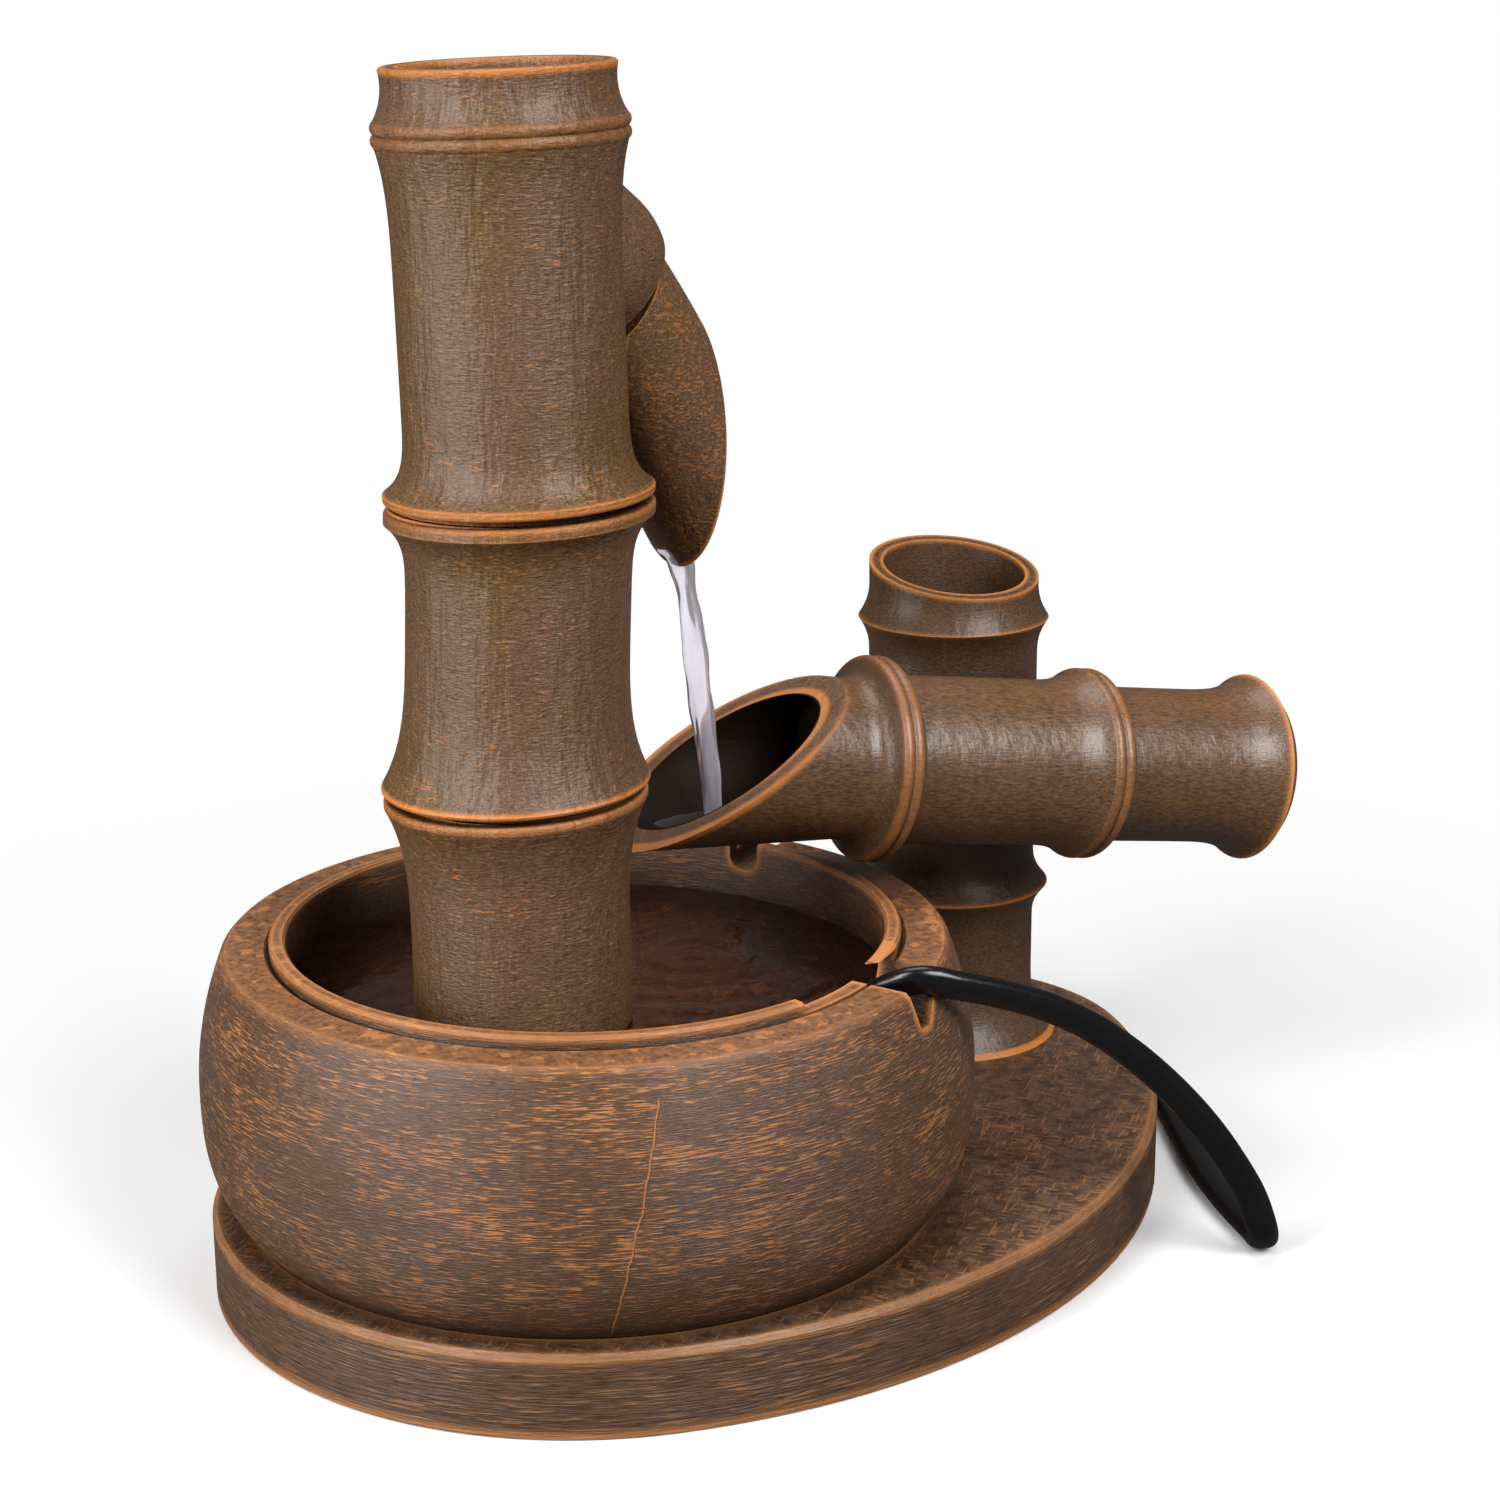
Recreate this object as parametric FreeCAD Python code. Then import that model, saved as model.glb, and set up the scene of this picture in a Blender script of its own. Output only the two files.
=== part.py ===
"""Tabletop water feature: a rocking scoop of glazed bamboo forms over a pumped bowl.

Millimetres, +Z up. The origin is at the middle of the footprint on the surface that the piece
stands on, and +X runs from the bowl to the rocker's post.
"""
import FreeCAD
import Part
import math
import os

Vec = FreeCAD.Vector
UP = Vec(0, 0, 1)

# Places in plan
bowl_x = -45.9
column_from_bowl = (-24.8, -4.9)
post_from_bowl = (136.6, 0.4)

# Base plate: an egg in plan, drawn with a back arc, a tip arc and two side arcs
base_back_r = 89.2
base_tip_r = 57.3
base_tip_distance = 122.6
base_side_r = 159.5
base_top_z = 19.7
base_edge_bevel = 1.2
seat_recess = 1.2
seat_margin = 1.3

# Felt pads in pockets under the base plate
pad_r = 9.0
pad_thickness = 2.0
pad_stands_out = 0.3
pad_margin = 0.4
pad_ring_r = 68.0
pad_tip_inset = 22.0
pad_side_angle = 125.0

# Bowl
bowl_foot_r = 80.0
bowl_belly_r = 90.4
bowl_belly_z = 50.9
bowl_rim_r = 83.6
bowl_rim_z = 82.4
bowl_rim_bevel = 1.1
bowl_lip_height = 2.5
bowl_lip_r = 73.0
bowl_mouth_r = 69.3
bowl_neck_z = 70.9
bowl_neck_r = 71.0
bowl_hollow_r = 80.0
bowl_hollow_z = 42.9
bowl_floor_r = 66.0
bowl_floor_thickness = 7.2
bowl_foot_power = 3.0
bowl_shoulder_power = 2.0
lip_edge_round = 0.6
lip_groove_width = 1.2
lip_groove_depth = 0.8
lip_gap_from = -95.0
lip_gap_to = -71.0

# Notch in the rim that the cord lies in: a V with one steep side, its root falling inwards
cord_notch_spot = (17.1, -76.2)
cord_notch_azimuth = -82.0
cord_notch_width = 14.7
cord_notch_depth = 9.0
cord_notch_root_width = 5.0
cord_notch_fall = 14.0
cord_notch_steep_run = 0.8

# Rounded overflow notch in the far rim
overflow_azimuth = 10.4
overflow_width = 8.0
overflow_depth = 5.2

# Column of three bamboo lengths, stacked dry on short spigots
column_r = 24.5
column_wall = 4.3
column_1_top_z = 123.7
column_1_flange_r = 29.3
column_1_mid_z = 89.0
column_1_power = 3.4
joint_groove_height = 1.5
joint_neck_r = 26.0
joint_seat_margin = 0.6
joint_seat_depth = 3.0
dry_joint = 0.2
spigot_length = 8.0
spigot_clearance = 0.3
spigot_wall = 2.4
flange_edge_round = 0.9
column_2_low_flange_r = 29.8
column_2_mid_r = 24.6
column_2_mid_z = 163.0
column_2_low_power = 3.9
column_2_high_flange_r = 29.4
column_2_high_power = 5.4
column_2_top_z = 188.2
column_2_wall = 4.7
column_3_flange_r = 29.4
column_3_mid_r = 24.3
column_3_mid_z = 224.0
column_3_low_power = 9.0
column_3_high_power = 5.0
column_3_node_r = 27.3
column_3_node_z = 267.3
column_3_neck_r = 25.4
column_3_neck_rise = 5.4
column_3_top_z = 280.9
column_3_top_r = 25.0
column_3_wall = 3.7
rim_edge_round = 0.5
septum_z = 201.0
septum_thickness = 5.0

# The hand-made lengths lean: sideways shifts of the outside at each low and high end
lean_azimuth = -48.0
ring_tilt = 1.6
column_1_lean = (0.0, -0.6)
column_2_lean = (-0.6, 2.0)
column_3_lean = (2.0, 0.0)

# Paired ridges at the bamboo nodes
ridge_pitch = 2.7
ridge_height = 0.65

# Arches in the column's foot: one for the cord, one that lets the water in
arch_azimuths = (-51.0, 129.0)
arch_width = 12.0
arch_height = 18.0

# Branch stub on the top length, and the spout that plugs into it
spout_azimuth = -2.4
stub_r = 18.0
stub_slope = 37.0
stub_end = (29.4, 232.7)
stub_length = 24.0
stub_lip_r = 16.4
stub_lip_run = 9.0
stub_edge_round = 0.8
stub_socket_depth = 6.0
stub_bore_r = 9.8
spout_start = (28.0, 229.3)
spout_start_r = 16.0
spout_end_r = 17.2
spout_wall = 2.9
spout_start_slope = 52.2
spout_slope = 57.3
spout_lead = 9.0
spout_bend_chord = 22.0
spout_run = 48.0
spout_mouth_reach = 49.4
spout_joint = 0.15
spout_cope_gap = 0.7
spout_spigot_r = 12.3
spout_spigot_length = 5.0
spout_spigot_wall = 2.2
spout_fit = 0.25

# Post
post_r = 21.9
post_wall = 3.5
post_foot_r = 28.5
post_foot_height = 17.0
post_foot_power = 2.6
post_floor_thickness = 6.0
post_low_node_z = 61.2
post_low_node_r = 25.7
post_low_node_run = 9.0
post_high_node_z = 133.1
post_high_node_r = 24.7
post_high_node_run = 9.0
post_node_power = 2.2
post_rim_r = 22.2
post_rim_z = 145.9
post_rim_tilt = 10.4
post_rim_azimuth = 71.5

# Rocker: a length of bamboo hung in front of the post; the places along it grow towards its tail
arm_azimuth = -24.5
arm_tilt = 8.05
arm_stand_off = 47.4
pivot_z = 105.7
pivot_along_arm = 46.6
arm_wall = 3.5
arm_scoop_wall = 5.2
arm_scoop_r = 23.8
arm_scoop_end = -74.0
arm_neck_r = 19.5
arm_neck = -10.0
arm_ring_1 = -1.0
arm_ring_1_r = 25.1
arm_body_r = 20.6
arm_ring_2 = 57.7
arm_ring_2_r = 23.8
arm_ring_2_run = 15.0
arm_ring_fall = 2.6
arm_tail_r = 19.4
arm_tail_waist = 84.0
arm_tail_flare_r = 23.7
arm_tail_edge = 106.3
arm_tail_end = 109.0
arm_tail_power = 4.0
arm_ring_power = 3.0
arm_septum = -14.0
arm_septum_thickness = 9.0
scoop_cut_top = (-11.0, 20.6)
scoop_cut_middle = (-36.0, 1.3)
scoop_cut_tip = (-66.5, -24.4)
scoop_cut_roll = 10.0

# Pivot: a steel axle through the post, running in a nylon bush in the arm's back wall
axle_r = 2.5
axle_head_r = 4.5
axle_head_thickness = 1.6
axle_press = 0.02
axle_running = 0.06
post_boss_r = 6.5
post_boss_stands_out = 2.6
arm_boss_r = 8.0
arm_boss_depth = 6.0
bush_r = 4.4
bush_flange_r = 6.2
bush_flange_thickness = 1.2
bush_press = 0.02
washer_r = 6.0
washer_thickness = 0.7
thrust_gap = 0.15
bush_seat_margin = 0.5
push_nut_r = 5.2
push_nut_thickness = 1.0
axle_stub = 1.2

# Rubber rest under the arm's tail side, and the weight in the tail
rest_from_pivot = 11.0
rest_length = 8.0
rest_depth = 19.0
rest_low = 24.0
rest_high = 12.0
rest_gap = 0.3
glue_gap = 0.1
weight_length = 24.0
weight_inset = 4.0
weight_gap = 0.15

# Pump
pump_azimuth = 129.0
pump_back = 16.0
pump_front = 7.0
pump_width = 24.0
pump_height = 26.0
pump_edge_round = 4.0
pump_feet_height = 4.0
pump_feet_r = 3.2
pump_feet_neck_r = 1.7
pump_feet_stud = 2.0
pump_wall = 1.6
rotor_well_r = 6.2
rotor_well_back = 7.0
rotor_r = 5.6
rotor_bore_gap = 0.05
rotor_gap = 0.5
vane_hub_r = 3.4
vane_r = 8.2
vane_width = 4.6
vane_thickness = 1.1
vane_count = 6
cover_depth = 9.0
volute_r = 9.6
cover_face = 1.8
intake_r = 5.6
intake_boss_r = 2.6
intake_spoke = 1.2
intake_spokes = 3
shaft_r = 1.0
shaft_bush_r = 1.9
front_bush_r = 1.4
front_bush_inset = 0.45
shaft_bush_length = 2.2
bush_seat_gap = 0.05
nozzle_r = 3.4
nozzle_bore_r = 2.3
nozzle_height = 9.0
nozzle_from_axis = 11.0
core_leg = 2.6
core_height = 11.0
core_leg_inner = 7.3
core_back = 14.0
core_front = 5.0
winding_growth = 0.9
core_gap = 0.2
regulator_width = 10.0
regulator_height = 12.0
regulator_thickness = 1.1
regulator_gap = 0.15
regulator_tab = 1.3
rail_width = 1.2
rail_lip = 0.9
gland_base_r = 5.2
gland_tip_r = 4.3
gland_length = 7.0
gland_z = 35.1
gland_fit = 0.05

# Riser hose and the grommet that seals it in the septum
hose_r = 5.0
hose_bore_r = 3.5
hose_top_over_septum = 7.0
hose_over_nozzle = 6.0
grommet_neck_r = 6.7
grommet_flange_r = 8.2
grommet_flange = 1.2
grommet_gap = 0.1

# Mains cord, as a round tube as wide as the flat cord
cord_r = 3.7
cord_floor_gap = 0.05
cord_first_run = 14.0
cord_in_bowl_route = [
    (6.5, -44.4, 32.0), (13.2, -52.4, 34.6), (17.2, -57.4, 42.8), (18.9, -60.2, 53.6),
    (19.6, -61.8, 64.4), (20.3, -65.2, 73.6), (21.3, -70.6, 78.8), (22.6, -75.2, 81.7),
    (24.8, -78.6, 82.9), (27.7, -81.2, 82.5), (31.0, -83.6, 81.1)]
cord_free_route = [
    (35.9, -86.0, 79.4), (41.2, -88.6, 77.5), (52.2, -93.6, 72.7), (63.0, -98.8, 65.9),
    (73.0, -104.2, 57.1), (82.5, -109.4, 46.5), (90.5, -113.7, 35.8), (96.6, -117.0, 25.6),
    (101.0, -119.4, 17.2), (102.0, -121.3, 11.1), (103.8, -121.1, 7.5), (106.1, -119.9, 5.1)]
cord_floor_route = [
    (108.7, -117.8), (111.2, -114.7), (114.6, -109.4), (121.0, -100.0), (132.0, -86.0),
    (147.6, -69.6), (165.6, -51.0), (181.0, -33.2), (193.0, -14.6), (199.6, 6.0), (199.6, 28.0),
    (194.0, 50.0), (183.4, 71.6), (169.4, 91.0), (154.4, 105.6), (144.2, 115.2), (139.2, 126.4)]
coil_centre = (92.0, 148.0)
coil_outer_r = 47.2
coil_pitch = 8.2
coil_layer_height = 7.9
coil_turns_in = 2
coil_turns_over = 0.5
coil_turns_out = 1.25
coil_stations_per_turn = 4
coil_lead = 7.4
tail_route = [
    (114.0, 106.95, 11.65), (128.0, 106.9, 11.7), (142.0, 106.9, 11.7), (154.0, 107.0, 11.4),
    (163.5, 107.2, 9.4), (173.0, 107.4, 7.0)]
plug_at = (186.0, 107.4)

# Mains plug with two round pins
plug_width = 35.4
plug_thickness = 13.8
plug_length = 36.0
plug_neck_width = 20.0
plug_waist = 4.0
plug_face_length = 9.0
plug_relief_r = 5.6
plug_relief_length = 14.0
pin_r = 2.0
pin_length = 19.0
pin_spacing = 18.6
pin_root = 8.0
plug_floor_gap = 0.1

# How far the cutters run past what they cut
past = 40.0

# Worked out from the sizes above
bowl_seat_z = base_top_z - seat_recess
bowl_floor_z = bowl_seat_z + bowl_floor_thickness
column_bore_r = column_r - column_wall
column_at = Vec(bowl_x + column_from_bowl[0], column_from_bowl[1], 0)
column_2_bore_r = column_2_mid_r - column_2_wall
column_3_bore_r = column_3_mid_r - column_3_wall
post_at = Vec(bowl_x + post_from_bowl[0], post_from_bowl[1], 0)
post_bore_r = post_r - post_wall
arm_back = Vec(-math.sin(math.radians(arm_azimuth)), math.cos(math.radians(arm_azimuth)), 0)
pivot_at = post_at - arm_back * arm_stand_off + UP * pivot_z
boss_face = arm_stand_off - post_r - post_boss_stands_out
bush_face = arm_body_r + glue_gap + bush_flange_thickness
pump_floor_z = bowl_floor_z + pump_feet_height
pump_mid_z = pump_floor_z + pump_height / 2
cover_front = pump_front + cover_depth
septum_top_z = septum_z + septum_thickness
grommet_bore_r = hose_r + grommet_gap
cord_floor_z = cord_r + cord_floor_gap
round_inset = 1 - math.sqrt(0.5)


def edge_through(points):
    """One edge through the points: two make a line, three an arc, more a smooth curve."""
    if len(points) == 2:
        return Part.LineSegment(points[0], points[1]).toShape()
    if len(points) == 3:
        return Part.Arc(points[0], points[1], points[2]).toShape()
    smooth = Part.BSplineCurve()
    smooth.interpolate(points)
    return smooth.toShape()


def outward(solid):
    """The solid with its faces pointing outwards."""
    return solid if solid.Volume > 0 else solid.reversed()


def outline(start, runs, spot):
    """Closed wire from a start point and runs of points that each carry on from the last one."""
    edges = []
    here = start
    for run in runs:
        edges.append(edge_through([spot(*p) for p in [here] + run]))
        here = run[-1]
    if here != start:
        edges.append(edge_through([spot(*here), spot(*start)]))
    return Part.Wire(edges)


def turned(start, *runs):
    """Solid turned about +Z from an outline of (radius, height) points."""
    wire = outline(start, runs, lambda r, z: Vec(r, 0, z))
    return outward(Part.Face(wire).revolve(Vec(0, 0, 0), UP, 360))


def rod(r, low, high):
    """Upright cylinder between two heights."""
    return Part.makeCylinder(r, high - low, Vec(0, 0, low))


def tube(outer, inner, low, high):
    """Upright tube between two heights."""
    return rod(outer, low, high).cut(rod(inner, low, high))


def block(x0, x1, y0, y1, z0, z1):
    """Box between two corners."""
    return Part.makeBox(x1 - x0, y1 - y0, z1 - z0, Vec(x0, y0, z0))


def placed(shape, at, azimuth=0.0, pitch=0.0):
    """Copy of a shape, turned about Y, then about Z, and moved."""
    copy = shape.copy()
    copy.Placement = FreeCAD.Placement(at, FreeCAD.Rotation(azimuth, pitch, 0)).multiply(copy.Placement)
    return copy


def power_curve(end, belly, power, steps=6):
    """Points from an end to a belly, leaving the belly slowly and reaching the end steeply."""
    points = []
    for i in range(1, steps + 1):
        t = 1 - i / steps
        radius = belly[0] + (end[0] - belly[0]) * t ** power
        points.append((radius, belly[1] + (end[1] - belly[1]) * t))
    return points


def waist(low, middle, high, low_power, high_power):
    """Points of a drawn-in side from a low end, through its middle, to a high end."""
    rise = power_curve(high, middle, high_power)
    rise.reverse()
    return power_curve(low, middle, low_power) + rise[1:] + [high]


def paired_ridges(r, at):
    """Two arcs for the pair of ridges at a bamboo node, from its low side to its high side."""
    root = r - ridge_height
    half = ridge_pitch / 2
    low = [(r, at - half), (root, at)]
    high = [(r, at + half), (root, at + ridge_pitch)]
    return [low, high], (root, at - ridge_pitch)


def egg_wire():
    """Egg-shaped outline of the base plate at height 0."""
    a = base_side_r - base_back_r
    b = base_side_r - base_tip_r
    d = base_tip_distance
    side_x = (a * a - b * b + d * d) / (2 * d)
    side_y = math.sqrt(a * a - side_x * side_x)
    back = Vec(bowl_x, 0, 0)
    tip = back + Vec(d, 0, 0)
    corners = {}
    tops = {}
    for side in (1, -1):
        centre = back + Vec(side_x, -side * side_y, 0)
        corners["back", side] = back + (back - centre).normalize() * base_back_r
        corners["tip", side] = tip + (tip - centre).normalize() * base_tip_r
        tops[side] = centre + Vec(0, side * base_side_r, 0)
    arcs = [
        (corners["back", 1], tops[1], corners["tip", 1]),
        (corners["tip", 1], tip + Vec(base_tip_r, 0, 0), corners["tip", -1]),
        (corners["tip", -1], tops[-1], corners["back", -1]),
        (corners["back", -1], back - Vec(base_back_r, 0, 0), corners["back", 1])]
    return Part.Wire([Part.Arc(*arc).toShape() for arc in arcs])


def pad_spots():
    """Places of the four felt pads: three round the bowl's end and one under the tip."""
    spots = [Vec(bowl_x + base_tip_distance + base_tip_r - pad_tip_inset - pad_r, 0, 0)]
    for angle in (pad_side_angle, 180.0, -pad_side_angle):
        turn = math.radians(angle)
        spots.append(Vec(bowl_x + pad_ring_r * math.cos(turn), pad_ring_r * math.sin(turn), 0))
    return spots


def make_base_plate():
    """Slab with a bevelled top edge, the bowl's shallow seat and pockets for the pads."""
    slab = Part.Face(egg_wire()).extrude(UP * (base_top_z - pad_stands_out))
    slab.translate(UP * pad_stands_out)
    top_edges = [e for e in slab.Edges if e.BoundBox.ZMin > base_top_z - base_edge_bevel]
    slab = slab.makeChamfer(base_edge_bevel, top_edges)
    seat = rod(bowl_foot_r + seat_margin, bowl_seat_z, base_top_z + seat_recess)
    slab = slab.cut(placed(seat, Vec(bowl_x, 0, 0)))
    pocket = rod(pad_r + pad_margin, 0, pad_thickness)
    for spot in pad_spots():
        slab = slab.cut(placed(pocket, spot))
    return slab


def make_base_pads():
    """Four felt pads that the whole piece stands on."""
    return Part.makeCompound([placed(rod(pad_r, 0, pad_thickness), spot) for spot in pad_spots()])


def bowl_shell():
    """The bowl as it comes off the wheel, before its notches are cut."""
    lip_z = bowl_rim_z + bowl_lip_height
    e = lip_edge_round
    foot_to_belly = power_curve((bowl_foot_r, bowl_seat_z), (bowl_belly_r, bowl_belly_z), bowl_foot_power)
    shoulder = (bowl_rim_r + bowl_rim_bevel / 2, bowl_rim_z - bowl_rim_bevel)
    belly_to_rim = power_curve(shoulder, (bowl_belly_r, bowl_belly_z), bowl_shoulder_power)
    belly_to_rim.reverse()
    side = foot_to_belly + belly_to_rim[1:] + [shoulder]
    hollow_foot = (bowl_hollow_z + bowl_floor_z) / 2
    hollow = [
        (bowl_neck_r, bowl_neck_z),
        ((bowl_neck_r + bowl_hollow_r) / 2 + e, (bowl_neck_z + bowl_hollow_z) / 2 + e),
        (bowl_hollow_r, bowl_hollow_z),
        ((bowl_hollow_r * 2 + bowl_floor_r) / 3 + e, hollow_foot - e),
        (bowl_floor_r, bowl_floor_z)]
    return turned(
        (0, bowl_seat_z),
        [(bowl_foot_r, bowl_seat_z)],
        side,
        [(bowl_rim_r - bowl_rim_bevel / 2, bowl_rim_z)],
        [(bowl_lip_r + lip_groove_width, bowl_rim_z)],
        [(bowl_lip_r, bowl_rim_z - lip_groove_depth)],
        [(bowl_lip_r, lip_z - e)],
        [(bowl_lip_r - e, lip_z)],
        [(bowl_mouth_r + e, lip_z)],
        [(bowl_mouth_r, lip_z - e)],
        hollow,
        [(0, bowl_floor_z)])


def lip_gap_wedge():
    """The stretch of the raised lip that is missing beside the cord."""
    top = bowl_rim_z + 2 * bowl_lip_height
    ring = tube(bowl_lip_r + lip_groove_width, bowl_mouth_r - seat_margin, bowl_rim_z, top)
    reach = 2 * bowl_belly_r
    fan = [Vec(0, 0, bowl_rim_z)]
    for angle in (lip_gap_from, lip_gap_to):
        turn = math.radians(angle)
        fan.append(Vec(reach * math.cos(turn), reach * math.sin(turn), bowl_rim_z))
    wedge = Part.Face(Part.makePolygon(fan + [fan[0]])).extrude(UP * 2 * bowl_lip_height)
    return ring.common(wedge)


def cord_notch_prism():
    """V-shaped prism that cuts the cord's notch through the rim."""
    over = 2 * bowl_lip_height
    depth = cord_notch_depth
    slope = (cord_notch_width - cord_notch_root_width) / depth
    corners = [
        (0, depth + over), (0, depth), (cord_notch_steep_run, 0), (cord_notch_root_width, 0),
        (cord_notch_width + slope * over, depth + over)]
    reach = bowl_rim_r - bowl_mouth_r + past / 4
    points = [Vec(-reach, t, z) for t, z in corners]
    prism = Part.Face(Part.makePolygon(points + [points[0]])).extrude(Vec(2 * reach, 0, 0))
    turn = math.radians(cord_notch_azimuth)
    spot = Vec(cord_notch_spot[0], cord_notch_spot[1], 0)
    outer = spot + Vec(math.cos(turn), math.sin(turn), 0) * (bowl_rim_r - spot.Length)
    return placed(prism, outer + UP * (bowl_rim_z - depth), cord_notch_azimuth, -cord_notch_fall)


def overflow_cutter():
    """Round-bottomed cutter for the small notch in the far rim."""
    r = overflow_width / 2
    centre_z = bowl_rim_z - overflow_depth + r
    start = bowl_mouth_r - past
    cutter = Part.makeCylinder(r, bowl_rim_r + past, Vec(start, 0, centre_z), Vec(1, 0, 0))
    cutter = cutter.fuse(block(start, start + bowl_rim_r + past, -r, r, centre_z, bowl_rim_z + past))
    return placed(cutter, Vec(0, 0, 0), overflow_azimuth)


def make_bowl():
    """Bowl with its lip, the gap in the lip, the cord's notch and the overflow notch."""
    bowl = bowl_shell().cut(lip_gap_wedge()).cut(cord_notch_prism()).cut(overflow_cutter())
    return placed(bowl, Vec(bowl_x, 0, 0))


def foot_arches():
    """Cutters for the arches in the column's foot."""
    r = arch_width / 2
    spring_z = bowl_floor_z + arch_height - r
    low = bowl_floor_z - seat_margin
    cutters = []
    for azimuth in arch_azimuths:
        arch = Part.makeCylinder(r, column_r + past, Vec(0, 0, spring_z), Vec(1, 0, 0))
        arch = arch.fuse(block(0, column_r + past, -r, r, low, spring_z))
        cutters.append(placed(arch, Vec(0, 0, 0), azimuth))
    return cutters


def leaned(shape, low_z, high_z, shifts):
    """Copy of a turned shape whose axis leans sideways and whose rings tilt."""
    turn = math.radians(lean_azimuth)
    way = Vec(math.cos(turn), math.sin(turn), 0)
    slant = (shifts[1] - shifts[0]) / (high_z - low_z)
    tilt = math.tan(math.radians(ring_tilt))
    matrix = FreeCAD.Matrix()
    matrix.A13 = way.x * slant
    matrix.A23 = way.y * slant
    matrix.A31 = way.x * tilt
    matrix.A32 = way.y * tilt
    matrix.A14 = way.x * (shifts[0] - slant * low_z)
    matrix.A24 = way.y * (shifts[0] - slant * low_z)
    return shape.transformGeometry(matrix)


def level_seat(body, seat_z):
    """The body with a level round seat for the next length, whatever way its rim leans."""
    r = joint_neck_r + joint_seat_margin
    body = body.fuse(rod(r, seat_z - joint_seat_depth, seat_z))
    return body.cut(rod(r, seat_z, seat_z + spigot_length))


def stacked_foot(body, seat_z, socket_r):
    """The body with a level neck, and a hollow spigot that fits the socket below it."""
    spigot_r = socket_r - spigot_clearance
    neck_top = seat_z + joint_groove_height + flange_edge_round
    body = body.fuse(rod(joint_neck_r, seat_z + dry_joint, neck_top))
    body = body.fuse(rod(spigot_r, seat_z - spigot_length, seat_z + joint_groove_height))
    return body.cut(rod(spigot_r - spigot_wall, seat_z - spigot_length, seat_z + spigot_length))


def flange_foot(flange_r, z):
    """Start and first runs of a filled outline whose low end is a flange with a rounded edge."""
    e = flange_edge_round
    start = (0, z)
    tip = (flange_r, z + e)
    return start, [[(flange_r - e, z)], [(flange_r - e * round_inset, z + e * round_inset), tip]]


def flange_head(flange_r, z):
    """Last runs of a filled outline whose high end is a flange with a rounded edge."""
    e = flange_edge_round
    rounding = [(flange_r - e * round_inset, z - e * round_inset), (flange_r - e, z)]
    return [[(flange_r, z - e)], rounding, [(0, z)]]


def make_column_lower():
    """Bottom length: it stands on the bowl's floor over the pump."""
    flare_end = (column_1_flange_r, column_1_top_z - 2 * flange_edge_round)
    flare = power_curve(flare_end, (column_r, column_1_mid_z), column_1_power)
    flare.reverse()
    low_z = bowl_floor_z - column_wall
    length = turned(
        (0, low_z), [(column_r, low_z)], [(column_r, column_1_mid_z)], flare[1:] + [flare_end],
        *flange_head(column_1_flange_r, column_1_top_z))
    length = leaned(length, bowl_floor_z, column_1_top_z, column_1_lean)
    length = length.cut(rod(2 * column_r, low_z - column_wall, bowl_floor_z))
    length = level_seat(length, column_1_top_z)
    length = length.cut(rod(column_bore_r, low_z, column_1_top_z))
    for cutter in foot_arches():
        length = length.cut(cutter)
    return placed(length, column_at)


def make_column_middle():
    """Middle length, with a spigot in the bottom length's bore."""
    e = flange_edge_round
    foot_z = column_1_top_z + joint_groove_height
    start, runs = flange_foot(column_2_low_flange_r, foot_z)
    side = waist(
        (column_2_low_flange_r, foot_z + e), (column_2_mid_r, column_2_mid_z),
        (column_2_high_flange_r, column_2_top_z - 3 * e), column_2_low_power, column_2_high_power)
    length = turned(start, *runs, side, *flange_head(column_2_high_flange_r, column_2_top_z))
    length = leaned(length, column_1_top_z, column_2_top_z, column_2_lean)
    length = level_seat(length, column_2_top_z)
    length = stacked_foot(length, column_1_top_z, column_bore_r)
    length = length.cut(rod(column_2_bore_r, column_1_top_z + spigot_length, column_2_top_z))
    return placed(length, column_at)


def stub_axis():
    """Place and direction of the branch stub's end, in the column's own frame."""
    turn = math.radians(spout_azimuth)
    out = Vec(math.cos(turn), math.sin(turn), 0)
    slope = math.radians(stub_slope)
    end = out * stub_end[0] + UP * stub_end[1]
    return end, out * math.cos(slope) - UP * math.sin(slope)


def along(shape, at, direction):
    """Copy of an upright shape, its origin moved to a place and its +Z turned to a direction."""
    copy = shape.copy()
    copy.Placement = FreeCAD.Placement(at, FreeCAD.Rotation(UP, direction))
    return copy


def upper_body():
    """Filled outside of the top length, up to its rim."""
    foot_z = column_2_top_z + joint_groove_height
    start, runs = flange_foot(column_3_flange_r, foot_z)
    ridges, node_foot = paired_ridges(column_3_node_r, column_3_node_z)
    side_foot = (column_3_flange_r, foot_z + 2 * flange_edge_round)
    side = waist(
        side_foot, (column_3_mid_r, column_3_mid_z), node_foot, column_3_low_power, column_3_high_power)
    neck_z = column_3_node_z + column_3_neck_rise
    body = turned(
        start, *runs, [side_foot], side, *ridges,
        [(column_3_neck_r, neck_z), (column_3_top_r, column_3_top_z - rim_edge_round)],
        [(column_3_top_r - rim_edge_round, column_3_top_z)],
        [(0, column_3_top_z)])
    return leaned(body, column_2_top_z, column_3_top_z, column_3_lean)


def cup_hollow():
    """Hollow of the cup above the septum, a little wider at the rim."""
    r = column_3_bore_r
    e = 2 * rim_edge_round
    return turned(
        (0, septum_top_z), [(r, septum_top_z)], [(r, column_3_top_z - e)],
        [(r + e, column_3_top_z + e)], [(0, column_3_top_z + e)])


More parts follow.
